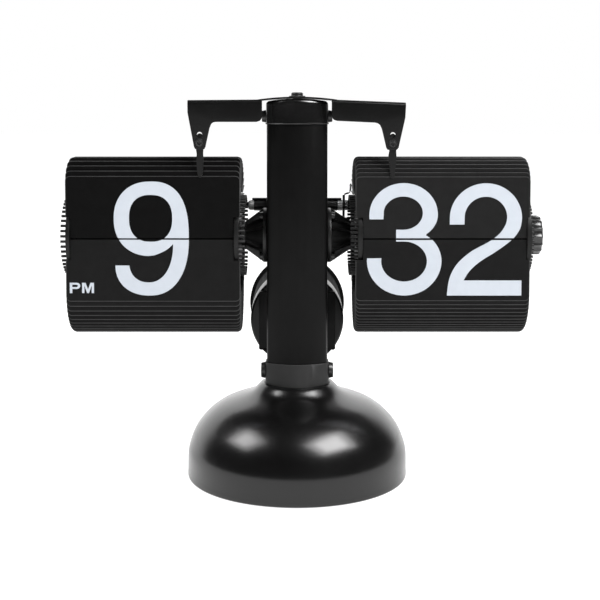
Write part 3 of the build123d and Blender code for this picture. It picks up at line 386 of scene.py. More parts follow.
def flat_fill(loops):
    """Triangulated flat mesh, in a bmesh, from an outline and its holes."""
    bm = bmesh.new()
    edges = []
    for loop in loops:
        clean = [loop[0]]
        for p in loop[1:]:
            if math.dist(p, clean[-1]) > 0.01:
                clean.append(p)
        if math.dist(clean[0], clean[-1]) < 0.01:
            clean.pop()
        vs = [bm.verts.new((x, y, 0)) for x, y in clean]
        edges += [bm.edges.new((vs[i], vs[(i + 1) % len(vs)])) for i in range(len(vs))]
    bmesh.ops.triangle_fill(bm, edges=edges, use_beauty=True, use_dissolve=False)
    return bm


def sheet_piece(name, loops, place, thickness, finish, keep=None, body="clock_body", bevel=0.0):
    """Thin cut piece.  loops are 2-D outlines in mm, place turns (x, y, 0) into
    the frame, thickness runs along place's third axis, keep = (low, high) trims y."""
    bm = bmesh.new()
    for glyph in loops:
        part = flat_fill(glyph)
        if keep:
            for y, up in ((keep[0], -1), (keep[1], 1)):
                if y is None:
                    continue
                bmesh.ops.bisect_plane(part, geom=part.verts[:] + part.edges[:] + part.faces[:], dist=1e-5,
                                       plane_co=(0, y, 0), plane_no=(0, up, 0), clear_outer=True)
        tmp = bpy.data.meshes.new("tmp")
        part.to_mesh(tmp)
        part.free()
        bm.from_mesh(tmp)
        bpy.data.meshes.remove(tmp)
    geom = bmesh.ops.extrude_face_region(bm, geom=bm.faces[:])
    moved = [v for v in geom["geom"] if isinstance(v, bmesh.types.BMVert)]
    bmesh.ops.translate(bm, verts=moved, vec=(0, 0, thickness))
    bmesh.ops.recalc_face_normals(bm, faces=bm.faces)
    for v in bm.verts:
        v.co = (place @ v.co) * MM
    bmesh.ops.recalc_face_normals(bm, faces=bm.faces)
    mesh = bpy.data.meshes.new(name)
    bm.to_mesh(mesh)
    bm.free()
    mesh.materials.append(M[finish])
    obj = bpy.data.objects.new(name, mesh)
    bpy.context.scene.collection.objects.link(obj)
    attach(obj, body)
    if bevel:
        bevelled(obj, bevel)
    return obj


def facing(origin, x=(1, 0, 0), y=(0, 0, 1)):
    """Placement of a sheet: its x and y directions in the frame, its third axis
    is x cross y."""
    x, y = Vector(x).normalized(), Vector(y).normalized()
    z = x.cross(y)
    m = Matrix((x, y, z)).transposed().to_4x4()
    m.translation = Vector(origin)
    return m


# ------------------------------------------------------------------ base
DOME = [
    (47.65, 3.0), (47.6, 6.0), (47.6, 9.0), (47.4, 12.0), (46.5, 15.0), (45.5, 18.0),
    (44.06, 21.0), (41.99, 24.0), (39.2, 27.0), (36.84, 29.0), (33.8, 31.0), (30.6, 32.5),
    (26.9, 33.8), (23.9, 34.8), (21.75, 35.6), (20.2, 36.3), (19.0, 37.0), (17.85, 38.0),
    (16.7, 39.3), (15.9, 40.1), (15.2, 40.5),
]


def relax(points, times):
    """Evens the curvature of a profile while its ends stay."""
    pts = [tuple(p) for p in points]
    for _ in range(times):
        new = [pts[0]]
        for a, b, c in zip(pts, pts[1:], pts[2:]):
            new.append(tuple(0.25 * x + 0.5 * y + 0.25 * z for x, y, z in zip(a, b, c)))
        new.append(pts[-1])
        pts = new
    return pts


def build_base():
    outer = relax(spline(DOME, 8), 36)
    inner = []
    for i, (r, z) in enumerate(outer):
        a, b = outer[max(i - 1, 0)], outer[min(i + 1, len(outer) - 1)]
        dr, dz = b[0] - a[0], b[1] - a[1]
        n = math.hypot(dr, dz)
        inner.append((r - dz / n * 1.4, z + dr / n * 1.4))
    inner = [p for p in inner if p[1] < 38.9]
    rim = [(46.35, 3.0), (46.35, 0.75)] + arc(46.7, 0.75, 0.35, 0.35, 180, 270, 4) \
        + arc(46.97, 1.1, 0.75, 0.8, 270, 360, 8) + [(47.72, 2.0)]
    profile = [(3.2, 40.5), (13.4, 40.5)] + list(reversed(outer)) + list(reversed(rim)) + inner \
        + [(inner[-1][0] - 0.6, 39.1), (3.2, 39.1)]
    obj = lathe("dome_shell", profile, "z", (0, 0), "gloss_black_metal", segments=192, closed=True,
                slot="gloss_black_metal")
    smoothed(obj, 40)
    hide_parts("base_shell")


# ------------------------------------------------------------------ leaves
LEAN = [(0, 0), (5, 0), (11.25, 1.0), (18.75, 3.0), (26.25, 7.0), (33.75, 14.0), (41.25, 25.0),
        (60, 46), (90, 78), (120, 111), (150, 143), (178, 174)]


def lean(theta):
    if theta >= 180:
        return 180.0
    for (a, fa), (b, fb) in zip(LEAN, LEAN[1:]):
        if a <= theta <= b:
            return fa + (fb - fa) * (theta - a) / (b - a)
    return LEAN[-1][1]


def leaf_place(theta):
    """Pivot and direction of one leaf: x along the drum, y along the leaf,
    third axis out of the face that looks at the reader when it stands."""
    t, f = math.radians(theta), math.radians(lean(theta))
    py = AXIS_Y - PIVOT_R * math.cos(t)
    pz = AXIS_Z + PIVOT_R * math.sin(t)
    return facing((0, py, pz), (1, 0, 0), (0, math.sin(f), math.cos(f)))


def leaf_mesh(thetas, pitch, wide, narrow):
    """Vertices, faces and face finishes for a deck of leaves.  Each leaf has a
    die-cut chamfer round its tip and sides."""
    verts, faces, kinds = [], [], []
    foot = -(PIVOT_R * math.sin(math.radians(pitch / 2)) - 0.3)
    wa, wb = wide
    na, nb = narrow
    c, e, t = 2.0, 0.7, 0.075

    def ring(g):
        """Outline drawn in by g where the die cut it."""
        right = [(na, foot), (nb, foot), (nb, -0.4), (nb + e, -0.4), (nb + e, 0.4), (nb, 0.4), (nb, NOTCH_H),
                 (wb - g, NOTCH_H)]
        tip_r = arc(wb - c, LEAF_L - c, c - g, c - g, 0, 90, 8)
        tip_l = arc(wa + c, LEAF_L - c, c - g, c - g, 90, 180, 8)
        left = [(wa + g, NOTCH_H), (na, NOTCH_H), (na, 0.4), (na - e, 0.4), (na - e, -0.4), (na, -0.4)]
        return right + tip_r + tip_l + left

    outline, front = ring(0.0), ring(0.32)
    n = len(outline)
    edge_from, edge_to = 7, n - 6
    for theta in thetas:
        place = leaf_place(theta)
        base = len(verts)
        for pts, h in ((front, t), (outline, t - 0.06), (outline, -t + 0.06), (front, -t)):
            verts += [tuple(place @ Vector((x, y, h))) for x, y in pts]
        faces.append(tuple(base + i for i in range(n)))
        kinds.append(0)
        for lv in range(3):
            for i in range(n):
                j = (i + 1) % n
                a, b = base + lv * n, base + (lv + 1) * n
                faces.append((a + i, a + j, b + j, b + i))
                # Chamfer and side faces round the tip take the edge finish, which carries a painted highlight.
                kinds.append(1 if edge_from <= i < edge_to else 0)
        faces.append(tuple(base + 3 * n + i for i in reversed(range(n))))
        kinds.append(0)
    return verts, faces, kinds


def build_leaves():
    for nm, count, wide, narrow in (("hour", 48, (-99.2, -24.4), (-97.2, -27.3)),
                                    ("minute", 60, (25.05, 99.8), (28.3, 98.3))):
        pitch = 360 / count
        for part, ks, body in (("flip_leaf", [0], nm + "_front_leaf"),
                               ("upper_leaves", range(1, count // 2), "clock_body"),
                               ("lower_leaves", range(count // 2, count), "clock_body")):
            v, f, k = leaf_mesh([pitch * (i + 0.5) for i in ks], pitch, wide, narrow)
            # Upper and flip leaves take their drum's copy of the leaf finish, with painted light and shade; lower
            # leaves take leaf_black.
            face = "leaf_black" if part == "lower_leaves" else "leaf_" + nm + "_upper"
            obj = add(nm + "_" + part + "_cut", v, f, None, body=body, slot="leaf_black", smooth=False,
                      mats=[face, "leaf_edge_and_painted_highlight"], face_mats=k)
            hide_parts(nm + "_" + part)


# ------------------------------------------------------------------ numerals
# glyph outlines in the leaf plane, mm from a glyph origin at the left foot,
# y measured up from the foot line; heights are 48.8 to 49 mm
K = 1 / 2.3274


def from_top(points, x0, y0):
    """Drawing units measured right and down, to mm right and up."""
    return [((x - x0) * K, (y0 - y) * K) for x, y in points]


def oval(cx, cy, a, b, t0, t1, power=2.2, n=24):
    """Points on a squared-off ellipse from angle t0 to t1, in degrees."""
    out = []
    for k in range(n + 1):
        t = math.radians(t0 + (t1 - t0) * k / n)
        c, s = math.cos(t), math.sin(t)
        out.append((cx + math.copysign(a * abs(c) ** (2 / power), c), cy + math.copysign(b * abs(s) ** (2 / power), s)))
    return out


def nine():
    outer = spline([(173.7, 243.6), (171.0, 246.4), (167.6, 249.1), (163.9, 251.3), (159.7, 253.2), (154.9, 255.0)], 3)
    outer += oval(151.0, 218.5, 36.4, 37.2, 92, 268, n=56)
    outer += oval(150.4, 238.3, 39.0, 57.1, -88, 0, 2.6, n=36)
    outer += oval(150.4, 238.3, 39.0, 57.1, 2, 88, 2.25, n=34)
    outer += oval(150.0, 265.0, 34.0, 30.4, 92, 180, n=26)
    outer += [(116.1, 265.2), (129.8, 265.2)]
    outer += oval(149.0, 262.0, 19.3, 20.2, 172, 90, n=18)
    outer += oval(149.0, 243.0, 24.7, 39.2, 88, 4, n=26)
    hole = oval(151.4, 218.0, 21.5, 23.4, 0, 354, 2.4, n=59)
    return [from_top(outer, 114.4, 295.4), from_top(hole, 114.4, 295.4)], 75.8 * K


def three():
    o = [(369.3, 218.5)] + arc(403.4, 214.0, 34.1, 31.7, 180, 360, 36)
    o += arc(411.0, 213.5, 26.5, 24.0, 4, 55, 10)
    o += arc(413.0, 261.0, 28.4, 29.6, -63, 0, 12)
    o += arc(404.2, 260.0, 37.2, 34.9, 2, 184, 36)
    o += [(381.3, 257.4)]
    o += arc(404.0, 260.5, 22.8, 20.3, 180, 0, 30)
    o += arc(404.0, 260.5, 22.8, 19.8, -4, -90, 16)
    o += [(396.0, 240.7), (396.0, 228.9), (402.6, 228.9)]
    o += arc(403.0, 212.3, 19.5, 16.6, 90, -180, 40)
    o += [(383.3, 218.5)]
    return [from_top(o, 366.9, 294.9)], 74.4 * K


def two():
    o = [(449.2, 223.6), (449.2, 218.0)] + arc(485.2, 217.5, 36.0, 35.1, 180, 360, 36)
    o += spline([(521.2, 217.5), (519.4, 227.5), (513.6, 236.4), (505.6, 243.4), (494.3, 251.5), (483.8, 257.9),
                 (474.8, 264.6), (467.9, 272.0), (463.4, 279.6)], 5)[1:]
    o += [(521.2, 279.6), (521.2, 294.8), (446.8, 294.8)]
    o += spline([(446.8, 294.8), (448.3, 281.5), (451.6, 271.5), (458.2, 261.4), (469.4, 251.5), (479.5, 245.6),
                 (490.0, 239.8), (499.4, 232.2), (505.0, 223.4), (506.4, 216.5)], 5)[1:]
    o += arc(485.2, 216.5, 21.2, 20.7, 0, -180, 30)[1:]
    o += [(463.9, 223.6)]
    return [from_top(o, 446.8, 294.8)], 74.4 * K


def zero():
    o = arc(37.4, 56.6, 37.4, 57.2, 0, 356, 71)
    h = arc(37.4, 56.6, 21.6, 43.4, 0, 356, 71)
    return [from_top(o, 0, 113.6), from_top(h, 0, 113.6)], 74.8 * K


def one():
    o = [(22.5, 113.4), (22.5, 27.0), (2.0, 27.0), (2.0, 17.5)] + spline([(2.0, 17.5), (13.0, 16.2), (20.5, 11.5), (24.2, 0.4)], 5)[1:] \
        + [(37.0, 0.4), (37.0, 113.4)]
    return [from_top(o, 0, 113.4)], 39.0 * K


def letters(a):
    """AM or PM in a wide bold face, cap height 10.4 units, 0.9 mm strokes."""
    s, w = 2.2, 10.4
    p_out = [(0, 10.4), (0, 0)] + arc(7.0, 3.1, 3.5, 3.1, -90, 90, 10) + [(s + 0.3, 6.2), (s + 0.3, 10.4)]
    p_in = [(s + 0.3, 1.9)] + arc(6.6, 3.1, 1.5, 1.2, -90, 90, 8) + [(s + 0.3, 4.3)]
    a_out = [(0, 10.4), (4.0, 0), (6.8, 0), (10.8, 10.4), (8.2, 10.4), (7.5, 8.4), (3.3, 8.4), (2.6, 10.4)]
    a_in = [(4.1, 6.5), (5.4, 2.4), (6.7, 6.5)]
    m = [(12.3, 10.4), (12.3, 0), (15.8, 0), (18.25, 6.6), (20.7, 0), (24.2, 0), (24.2, 10.4), (21.9, 10.4),
         (21.9, 2.8), (19.2, 10.4), (17.3, 10.4), (14.6, 2.8), (14.6, 10.4)]
    first = [a_out, a_in] if a == "A" else [p_out, p_in]
    return [[from_top(l, 0, 10.4) for l in first], [from_top(m, 0, 10.4)]]


GLYPH = {"9": nine, "3": three, "2": two, "0": zero, "1": one}
Z_FOOT = 79.5        # foot line of the numerals on the clock's face
INK = 0.012


def place_glyphs(items):
    """items: (character, left x in mm).  Loops in face coordinates: x, z."""
    out = []
    for ch, x in items:
        loops, _ = GLYPH[ch]()
        out.append([[(px + x, pz + Z_FOOT) for px, pz in loop] for loop in loops])
    return out


def small_print(a, x, z):
    return [[[(px + x, pz + z) for px, pz in loop] for loop in group] for group in letters(a)]


def moved(groups, dz):
    return [[[(x, z + dz) for x, z in loop] for loop in g] for g in groups]


def build_print():
    drums = (
        ("hour", 7.5, -0.825, [("9", -78.6)], small_print("P", -97.6, 80.55), [("1", -86.0), ("0", -67.0)]),
        ("minute", 6.0, -0.6, [("3", 29.9), ("2", 64.3)], [], [("3", 29.9), ("3", 64.3)]),
    )
    for nm, pitch, foot, now, small, after in drums:
        up_pivot = AXIS_Z + PIVOT_R * math.sin(math.radians(pitch / 2))
        low_pivot = AXIS_Z - PIVOT_R * math.sin(math.radians(pitch / 2))
        py = AXIS_Y - PIVOT_R * math.cos(math.radians(pitch / 2))
        face = py - 0.075
        front = facing((0, face, 0), (1, 0, 0), (0, 0, 1))          # third axis is -Y
        cut_up, cut_low = up_pivot + foot + 0.03, low_pivot - foot - (0.17 if nm == "minute" else 0.03)
        shown = place_glyphs(now)
        # upper half on the front of the flip leaf
        sheet_piece(nm + "_print_upper", shown, front, INK, "print_white", keep=(cut_up, None),
                    body=nm + "_front_leaf")
        # lower half on the hanging leaf in front
        sheet_piece(nm + "_print_lower", shown + small, front, INK, "print_white", keep=(None, cut_low))
        # lower half of the next number on the back of the flip leaf, foot up
        nxt = place_glyphs(after) + small
        flipped = [[[(x, up_pivot + (low_pivot - z)) for x, z in loop] for loop in g] for g in nxt]
        back = facing((0, py + 0.075, 0), (-1, 0, 0), (0, 0, 1))    # third axis is +Y
        flipped = [[[(-x, z) for x, z in loop] for loop in g] for g in flipped]
        sheet_piece(nm + "_print_next_lower", flipped, back, INK, "print_white",
                    keep=(up_pivot + (low_pivot - cut_low), None), body=nm + "_front_leaf")
        # upper half of the next number on the second leaf
        second = leaf_place(pitch * 1.5)
        rel = moved(place_glyphs(after), -up_pivot)
        onleaf = second @ Matrix.Translation((0, 0, 0.075))
        sheet_piece(nm + "_print_next_upper", rel, onleaf, INK, "print_white", keep=(foot + 0.03, None))


# ------------------------------------------------------------------ machined and moulded pieces
def flare(co):
    """The collar's front swells towards the round neck it stands on."""
    x, y, z = co / MM
    if z < 42.0 and y < -2.0:
        co.y -= 3.4 * max(0.0, 1 - (x / 13.7) ** 2) * MM


def refined(node, width, segments=2, angle=28, finish=None, merge=0.01, shape=None, behind=None):
    """The node's solid as a clean mesh with broken edges, the way the real
    piece leaves its tool."""
    src = NODES[node]
    bm = bmesh.new()
    bm.from_mesh(src.data)
    bmesh.ops.remove_doubles(bm, verts=bm.verts, dist=merge * MM)
    bmesh.ops.dissolve_limit(bm, angle_limit=math.radians(0.6), verts=bm.verts, edges=bm.edges)
    bmesh.ops.recalc_face_normals(bm, faces=bm.faces)
    if shape:
        for v in bm.verts:
            shape(v.co)
    if behind:
        bmesh.ops.bisect_plane(bm, geom=bm.verts[:] + bm.edges[:] + bm.faces[:], plane_co=(0, behind[0] * MM, 0),
                               plane_no=(0, 1, 0))
    mesh = bpy.data.meshes.new(node + "_piece")
    bm.to_mesh(mesh)
    bm.free()
    s = NODE_SLOT.get(node)
    mesh.materials.append(M[finish or s])
    if behind:
        mesh.materials.append(M[behind[1]])
        for p in mesh.polygons:
            if p.center.y > behind[0] * MM:
                p.material_index = 1
    for p in mesh.polygons:
        p.use_smooth = True
    obj = bpy.data.objects.new(node + "_piece", mesh)
    bpy.context.scene.collection.objects.link(obj)
    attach(obj, src["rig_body"])
    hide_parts(node)
    bevelled(obj, width, segments, angle)
    smoothed(obj, 34)
    return obj


def build_refined():
    for node, width, segments in (
        ("column_tube", 0.35, 3), ("column_collar", 0.3, 3), ("column_cap", 0.3, 3),
        ("bracket_screw", 0.18, 2), ("collar_screws", 0.3, 3), ("cap_screws", 0.25, 3), ("finger_screws", 0.12, 2),
        ("movement_case", 0.3, 2), ("movement_cover", 0.25, 2), ("cover_screws", 0.12, 2),
        ("barrel_bracket", 0.3, 2), ("battery_barrel", 0.25, 2), ("battery_cover", 0.3, 2),
        ("hour_boss", 0.25, 2), ("minute_boss", 0.25, 2), ("boss_screws", 0.12, 2),
        ("knob_screw", 0.12, 2), ("pawl_rod", 0.15, 2),
        ("hour_disc_inner", 0.12, 2), ("hour_disc_outer", 0.12, 2), ("minute_disc_inner", 0.12, 2),
        ("minute_disc_outer", 0.12, 2), ("base_plate", 0.3, 2), ("base_screws", 0.15, 2),
        ("hour_shaft_nut", 0.15, 2), ("column_bolt", 0.3, 2),
    ):
        refined(node, width, segments, finish=OTHER.get(node), shape=flare if node == "column_collar" else None,
                behind=(25.5, "barrel_grip") if node == "battery_barrel" else None)


def blade(name, node, rows, y0, y1, hole, body="clock_body"):
    """Spring finger from rows of (z, left x, right x), with a fixing hole."""
    left = [(a, z) for z, a, b in rows]
    right = [(b, z) for z, a, b in reversed(rows)]
    place = facing((0, y1, 0), (1, 0, 0), (0, 0, 1))
    obj = sheet_piece(name, [[left + right, arc(hole[0], hole[1], 0.92, 0.92, 0, 345, 23)]], place, y1 - y0,
                      "black_spring_steel", body=body)
    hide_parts(node)
    return obj


def rounded_rows(cx, z_top, r_top, shoulders, tip_z, tip_r):
    """Rows for a blade with round ends: a head of radius r_top, widths at the
    given heights, and a round tip."""
    rows = [(z_top - r_top + r_top * math.sin(math.radians(t)), cx - r_top * math.cos(math.radians(t)),
             cx + r_top * math.cos(math.radians(t))) for t in (88, 70, 50, 30, 10, -15)]
    rows += [(z, cx + a, cx + b) for z, a, b in shoulders]
    rows += [(tip_z + tip_r - tip_r * math.sin(math.radians(t)), cx - tip_r * math.cos(math.radians(t)),
              cx + tip_r * math.cos(math.radians(t))) for t in (0, 20, 40, 60, 75, 88)]
    return rows


def build_fingers():
    rows = rounded_rows(-41.5, 149.15, 1.3, [(144.0, -1.45, 1.5), (141.8, -1.55, 1.55), (140.6, -1.35, 1.45),
                                             (138.0, -1.45, 1.6), (134.0, -1.3, 1.35), (131.6, -1.0, 1.15)],
                        130.15, 0.75)
    blade("hour_finger_blade", "hour_stop_finger", rows, -8.5, -8.15, (-41.5, 145.15))
    rows = rounded_rows(40.75, 149.0, 1.3, [(143.4, -1.5, 1.5), (141.5, -1.5, 1.5), (139.6, -1.85, 1.6),
                                            (138.2, -1.9, 1.65), (136.0, -1.45, 1.4), (132.4, -1.05, 0.95)],
                        129.85, 0.95)
    blade("minute_finger_blade", "minute_stop_finger", rows, -8.5, -8.15, (40.75, 144.85))


def tube(name, points, radius, finish, body, slot=None, sides=12, caps=True):
    """Round wire along points, with a domed end."""
    pts = [Vector(p) for p in spline(points, 6)]
    verts, faces = [], []
    up = Vector((0.31, 0.17, 0.93))
    for i, p in enumerate(pts):
        d = (pts[min(i + 1, len(pts) - 1)] - pts[max(i - 1, 0)]).normalized()
        u = d.cross(up).normalized()
        v = d.cross(u).normalized()
        r = radius * (0.55 if i in (0, len(pts) - 1) else 1.0)
        for k in range(sides):
            a = 2 * math.pi * k / sides
            verts.append(tuple(p + u * (r * math.cos(a)) + v * (r * math.sin(a))))
    for i in range(len(pts) - 1):
        for k in range(sides):
            q = (k + 1) % sides
            faces.append((i * sides + k, i * sides + q, (i + 1) * sides + q, (i + 1) * sides + k))
    faces.append(tuple(range(sides)))
    faces.append(tuple((len(pts) - 1) * sides + k for k in range(sides)))
    return smoothed(add(name, verts, faces, finish, body=body, slot=slot), 45)


def build_pawl():
    """Stamped pawl with a folded foot, and the wire that lifts it."""
    y0, z0 = 26.0, 115.85
    outline = [(27.5, 107.75), (29.25, 107.85), (29.1, 112.6)] + arc(y0, z0, 2.5, 2.5, -32, 55, 10) \
        + [(27.5, 119.2), (27.1, 120.5), (25.7, 120.6), (25.3, 119.3)] + arc(y0, z0, 2.5, 2.5, 125, 300, 18) \
        + [(27.35, 112.4)]
    place = facing((20.8, 0, 0), (0, 1, 0), (0, 0, 1))
    obj = sheet_piece("pawl_plate", [[outline, arc(y0, z0, 1.67, 1.67, 0, 345, 23)]], place, 1.1, "black_steel",
                      body="backstop", bevel=0.12)
    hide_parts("backstop_pawl")
    sheet_piece("pawl_foot", [[[(27.55, 107.75), (29.25, 107.85), (29.2, 110.1), (27.5, 110.0)]]],
                facing((21.7, 0, 0), (0, 1, 0), (0, 0, 1)), 2.6, "black_steel", body="backstop",
                bevel=0.15)
    tube("pawl_wire", [(21.35, 26.4, 119.6), (21.5, 26.4, 120.5), (22.3, 26.5, 121.1), (23.5, 26.6, 121.5),
                       (24.25, 26.7, 122.5), (24.4, 26.8, 124.0), (24.35, 26.8, 125.8)], 0.42, "polished_steel",
         "backstop")


def build_keys():
    """Moulded ribs that carry the case's tongues down onto the sleeves."""
    for nm, a, b in (("left", -20.5, -13.0), ("right", 13.0, 20.2)):
        rows = [(24.3, 118.95), (27.7, 118.95), (27.3, 118.3), (26.9, 118.15), (25.1, 118.15), (24.7, 118.3)]
        sheet_piece("tongue_rib_" + nm, [[rows]], facing((a, 0, 0), (0, 1, 0), (0, 0, 1)), b - a, "black_plastic",
                    bevel=0.1)


def build_sleeves():
    """Moulded sleeves on the lifting rod with bright end nuts, silver with a painted glint."""
    at = (26.0, 115.85)
    for nm, a, b in (("left", -19.7, -13.35), ("right", 13.35, 18.5)):
        prof = [(1.62, a), (1.62, b), (2.35, b), (2.55, b - 0.2), (2.55, a + 0.2), (2.35, a)]
        obj = smoothed(lathe("rod_sleeve_" + nm, prof, "x", at, "sleeve_plastic", segments=48, closed=True,
                             slot="black_plastic"), 40)
        if nm == "left":
            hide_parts("rod_sleeves")
    dome = [(1.62, -19.72), (2.2, -19.72), (2.4, -19.9), (2.42, -21.2), (2.25, -21.8), (1.95, -22.15), (1.62, -22.3)]
    smoothed(lathe("rod_nut_left", dome, "x", at, "nut_silver_and_painted_glint", segments=40, closed=True, slot="zinc_steel"), 40)
    verts, faces, seg = [], [], 72
    rings = [(18.52, 1.62, 0), (18.52, 2.3, 0), (18.8, 2.5, 1), (20.4, 2.5, 1), (20.68, 2.3, 0), (20.68, 1.62, 0)]
    for x, r, knurl in rings:
        for k in range(seg):
            t = 2 * math.pi * k / seg
            q = r - (0.14 if knurl and k % 4 in (0, 1) else 0.0)
            verts.append((x, at[0] + q * math.cos(t), at[1] + q * math.sin(t)))
    for i in range(len(rings)):
        j = (i + 1) % len(rings)
        for k in range(seg):
            faces.append((i * seg + k, i * seg + (k + 1) % seg, j * seg + (k + 1) % seg, j * seg + k))
    add("rod_nut_right", verts, faces, "nut_silver_and_painted_glint", slot="zinc_steel", smooth=False)


def build_knob():
    """Fluted knob: broad hollow flutes between narrow ridges."""
    seg, n = 14 * 14, 14

    def outline(k):
        u = abs(math.sin(math.pi * (k / seg) * n))
        return 8.9 - 0.85 * u ** 0.62

    rings = [(100.6, None, 3.4), (102.3, None, 3.4), (102.3, None, 6.6), (102.3, 0.955, None), (102.5, 0.985, None),
             (102.8, 1.0, None), (106.3, 1.0, None), (106.8, 0.985, None), (107.2, 0.955, None), (107.42, 0.92, None),
             (107.5, 0.88, None), (107.5, None, 6.0), (107.35, None, 5.75), (106.4, None, 5.6), (106.4, None, 1.55),
             (100.6, None, 1.55)]
    verts, faces = [], []
    for x, share, r in rings:
        for k in range(seg):
            t = 2 * math.pi * (k + 0.5) / seg
            q = outline(k + 0.5) * share if share else r
            verts.append((x, AXIS_Y + q * math.cos(t), AXIS_Z + q * math.sin(t)))
    for i in range(len(rings)):
        j = (i + 1) % len(rings)
        for k in range(seg):
            faces.append((i * seg + k, i * seg + (k + 1) % seg, j * seg + (k + 1) % seg, j * seg + k))
    obj = smoothed(add("knob_fluted", verts, faces, "grey_plastic", body=NODES["setting_knob"]["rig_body"],
                       slot="grey_plastic"), 30)
    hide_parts("setting_knob")


LEFT_ARM = [(-14.9, 163.55), (-14.9, 156.2), (-15.2, 155.2), (-15.9, 154.4), (-17.3, 153.95), (-34.6, 153.95),
            (-35.7, 153.75), (-36.5, 153.1), (-37.2, 151.4), (-39.0, 143.3), (-39.5, 142.35), (-43.3, 142.35),
            (-43.9, 143.3), (-46.6, 158.0), (-46.7, 163.3)]
RIGHT_ARM = [(14.7, 163.55), (14.7, 156.6), (15.0, 155.6), (15.7, 154.8), (17.1, 154.4), (33.1, 153.65),
             (34.3, 153.35), (35.2, 152.7), (36.0, 151.0), (37.9, 143.0), (38.5, 142.1), (42.4, 142.1),
             (43.2, 143.0), (46.0, 155.7), (46.3, 161.4), (46.1, 162.25)]


def folded_arm(name, outline, holes, r=1.7, t=1.0, y0=-9.5, y_end=-2.5):
    """Arm cut from sheet and folded back along its top edge."""
    (xa, za), (xb, zb) = outline[0], outline[-1]

    def crest(x):
        return za + (zb - za) * (x - xa) / (xb - xa)

    grow = -r + r * math.pi / 2 + (y_end - y0 - r)
    pts = [(x, z - crest(x)) for x, z in outline]
    pts[0], pts[-1] = (xa, grow), (xb, grow)
    loops = [pts] + [[(x, z - crest(hx)) for x, z in arc(hx, hz, hr, hr, 0, 345, 23)] for hx, hz, hr in holes]
    bm = flat_fill(loops)
    for k in range(9):
        u = -r + k * r * math.pi / 16
        bmesh.ops.bisect_plane(bm, geom=bm.verts[:] + bm.edges[:] + bm.faces[:], dist=1e-5,
                               plane_co=(0, u, 0), plane_no=(0, 1, 0))
    geom = bmesh.ops.extrude_face_region(bm, geom=bm.faces[:])
    back = [v for v in geom["geom"] if isinstance(v, bmesh.types.BMVert)]
    bmesh.ops.translate(bm, verts=back, vec=(0, 0, t))
    for v in bm.verts:
        x, u, d = v.co
        top = crest(x)
        if u <= -r:
            y, z = y0 + d, top + u
        elif u <= -r + r * math.pi / 2:
            a = (u + r) / r
            y, z = y0 + r - (r - d) * math.cos(a), top - r + (r - d) * math.sin(a)
        else:
            y, z = y0 + r + (u + r - r * math.pi / 2), top - d
        v.co = Vector((x, y, z)) * MM
    bmesh.ops.recalc_face_normals(bm, faces=bm.faces)
    mesh = bpy.data.meshes.new(name)
    bm.to_mesh(mesh)
    bm.free()
    mesh.materials.append(M["arm_metal"])
    for p in mesh.polygons:
        p.use_smooth = True
    obj = bpy.data.objects.new(name, mesh)
    bpy.context.scene.collection.objects.link(obj)
    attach(obj, "clock_body")
    bevelled(obj, 0.16, 2, 50)
    return smoothed(obj, 40)


def build_bracket():
    left = folded_arm("bracket_left_arm", LEFT_ARM, [(-41.5, 148.6, 1.12), (-41.5, 145.15, 0.95)])
    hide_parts("stop_bracket")
    folded_arm("bracket_right_arm", RIGHT_ARM, [(40.75, 148.45, 1.12), (40.75, 144.85, 0.95)])
    # arched strap over the cap
    bm = flat_fill([[(-17.0, -8.4), (17.0, -8.4), (17.0, 5.6), (-17.0, 5.6)], arc(0, -1.0, 2.1, 2.1, 0, 345, 23)])
    for k in range(-15, 16, 2):
        bmesh.ops.bisect_plane(bm, geom=bm.verts[:] + bm.edges[:] + bm.faces[:], dist=1e-5,
                               plane_co=(k, 0, 0), plane_no=(1, 0, 0))
    geom = bmesh.ops.extrude_face_region(bm, geom=bm.faces[:])
    top = [v for v in geom["geom"] if isinstance(v, bmesh.types.BMVert)]
    bmesh.ops.translate(bm, verts=top, vec=(0, 0, 0.76))
    for v in bm.verts:
        v.co = Vector((v.co.x, v.co.y, 163.97 + v.co.z - 1.22 * (v.co.x / 17.0) ** 2)) * MM
    bmesh.ops.recalc_face_normals(bm, faces=bm.faces)
    mesh = bpy.data.meshes.new("bracket_strap")
    bm.to_mesh(mesh)
    bm.free()
    mesh.materials.append(M["arm_metal"])
    for p in mesh.polygons:
        p.use_smooth = True
    obj = bpy.data.objects.new("bracket_strap", mesh)
    bpy.context.scene.collection.objects.link(obj)
    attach(obj, "clock_body")
    bevelled(obj, 0.12, 2, 50)
    smoothed(obj, 40)


paint_cad()
build_base()
build_refined()
build_fingers()
build_pawl()
build_sleeves()
build_knob()
build_bracket()
build_keys()
build_leaves()
build_print()

# ------------------------------------------------------------------ studio
scene = bpy.context.scene
scene.view_settings.view_transform = "Standard"
scene.view_settings.look = "None"


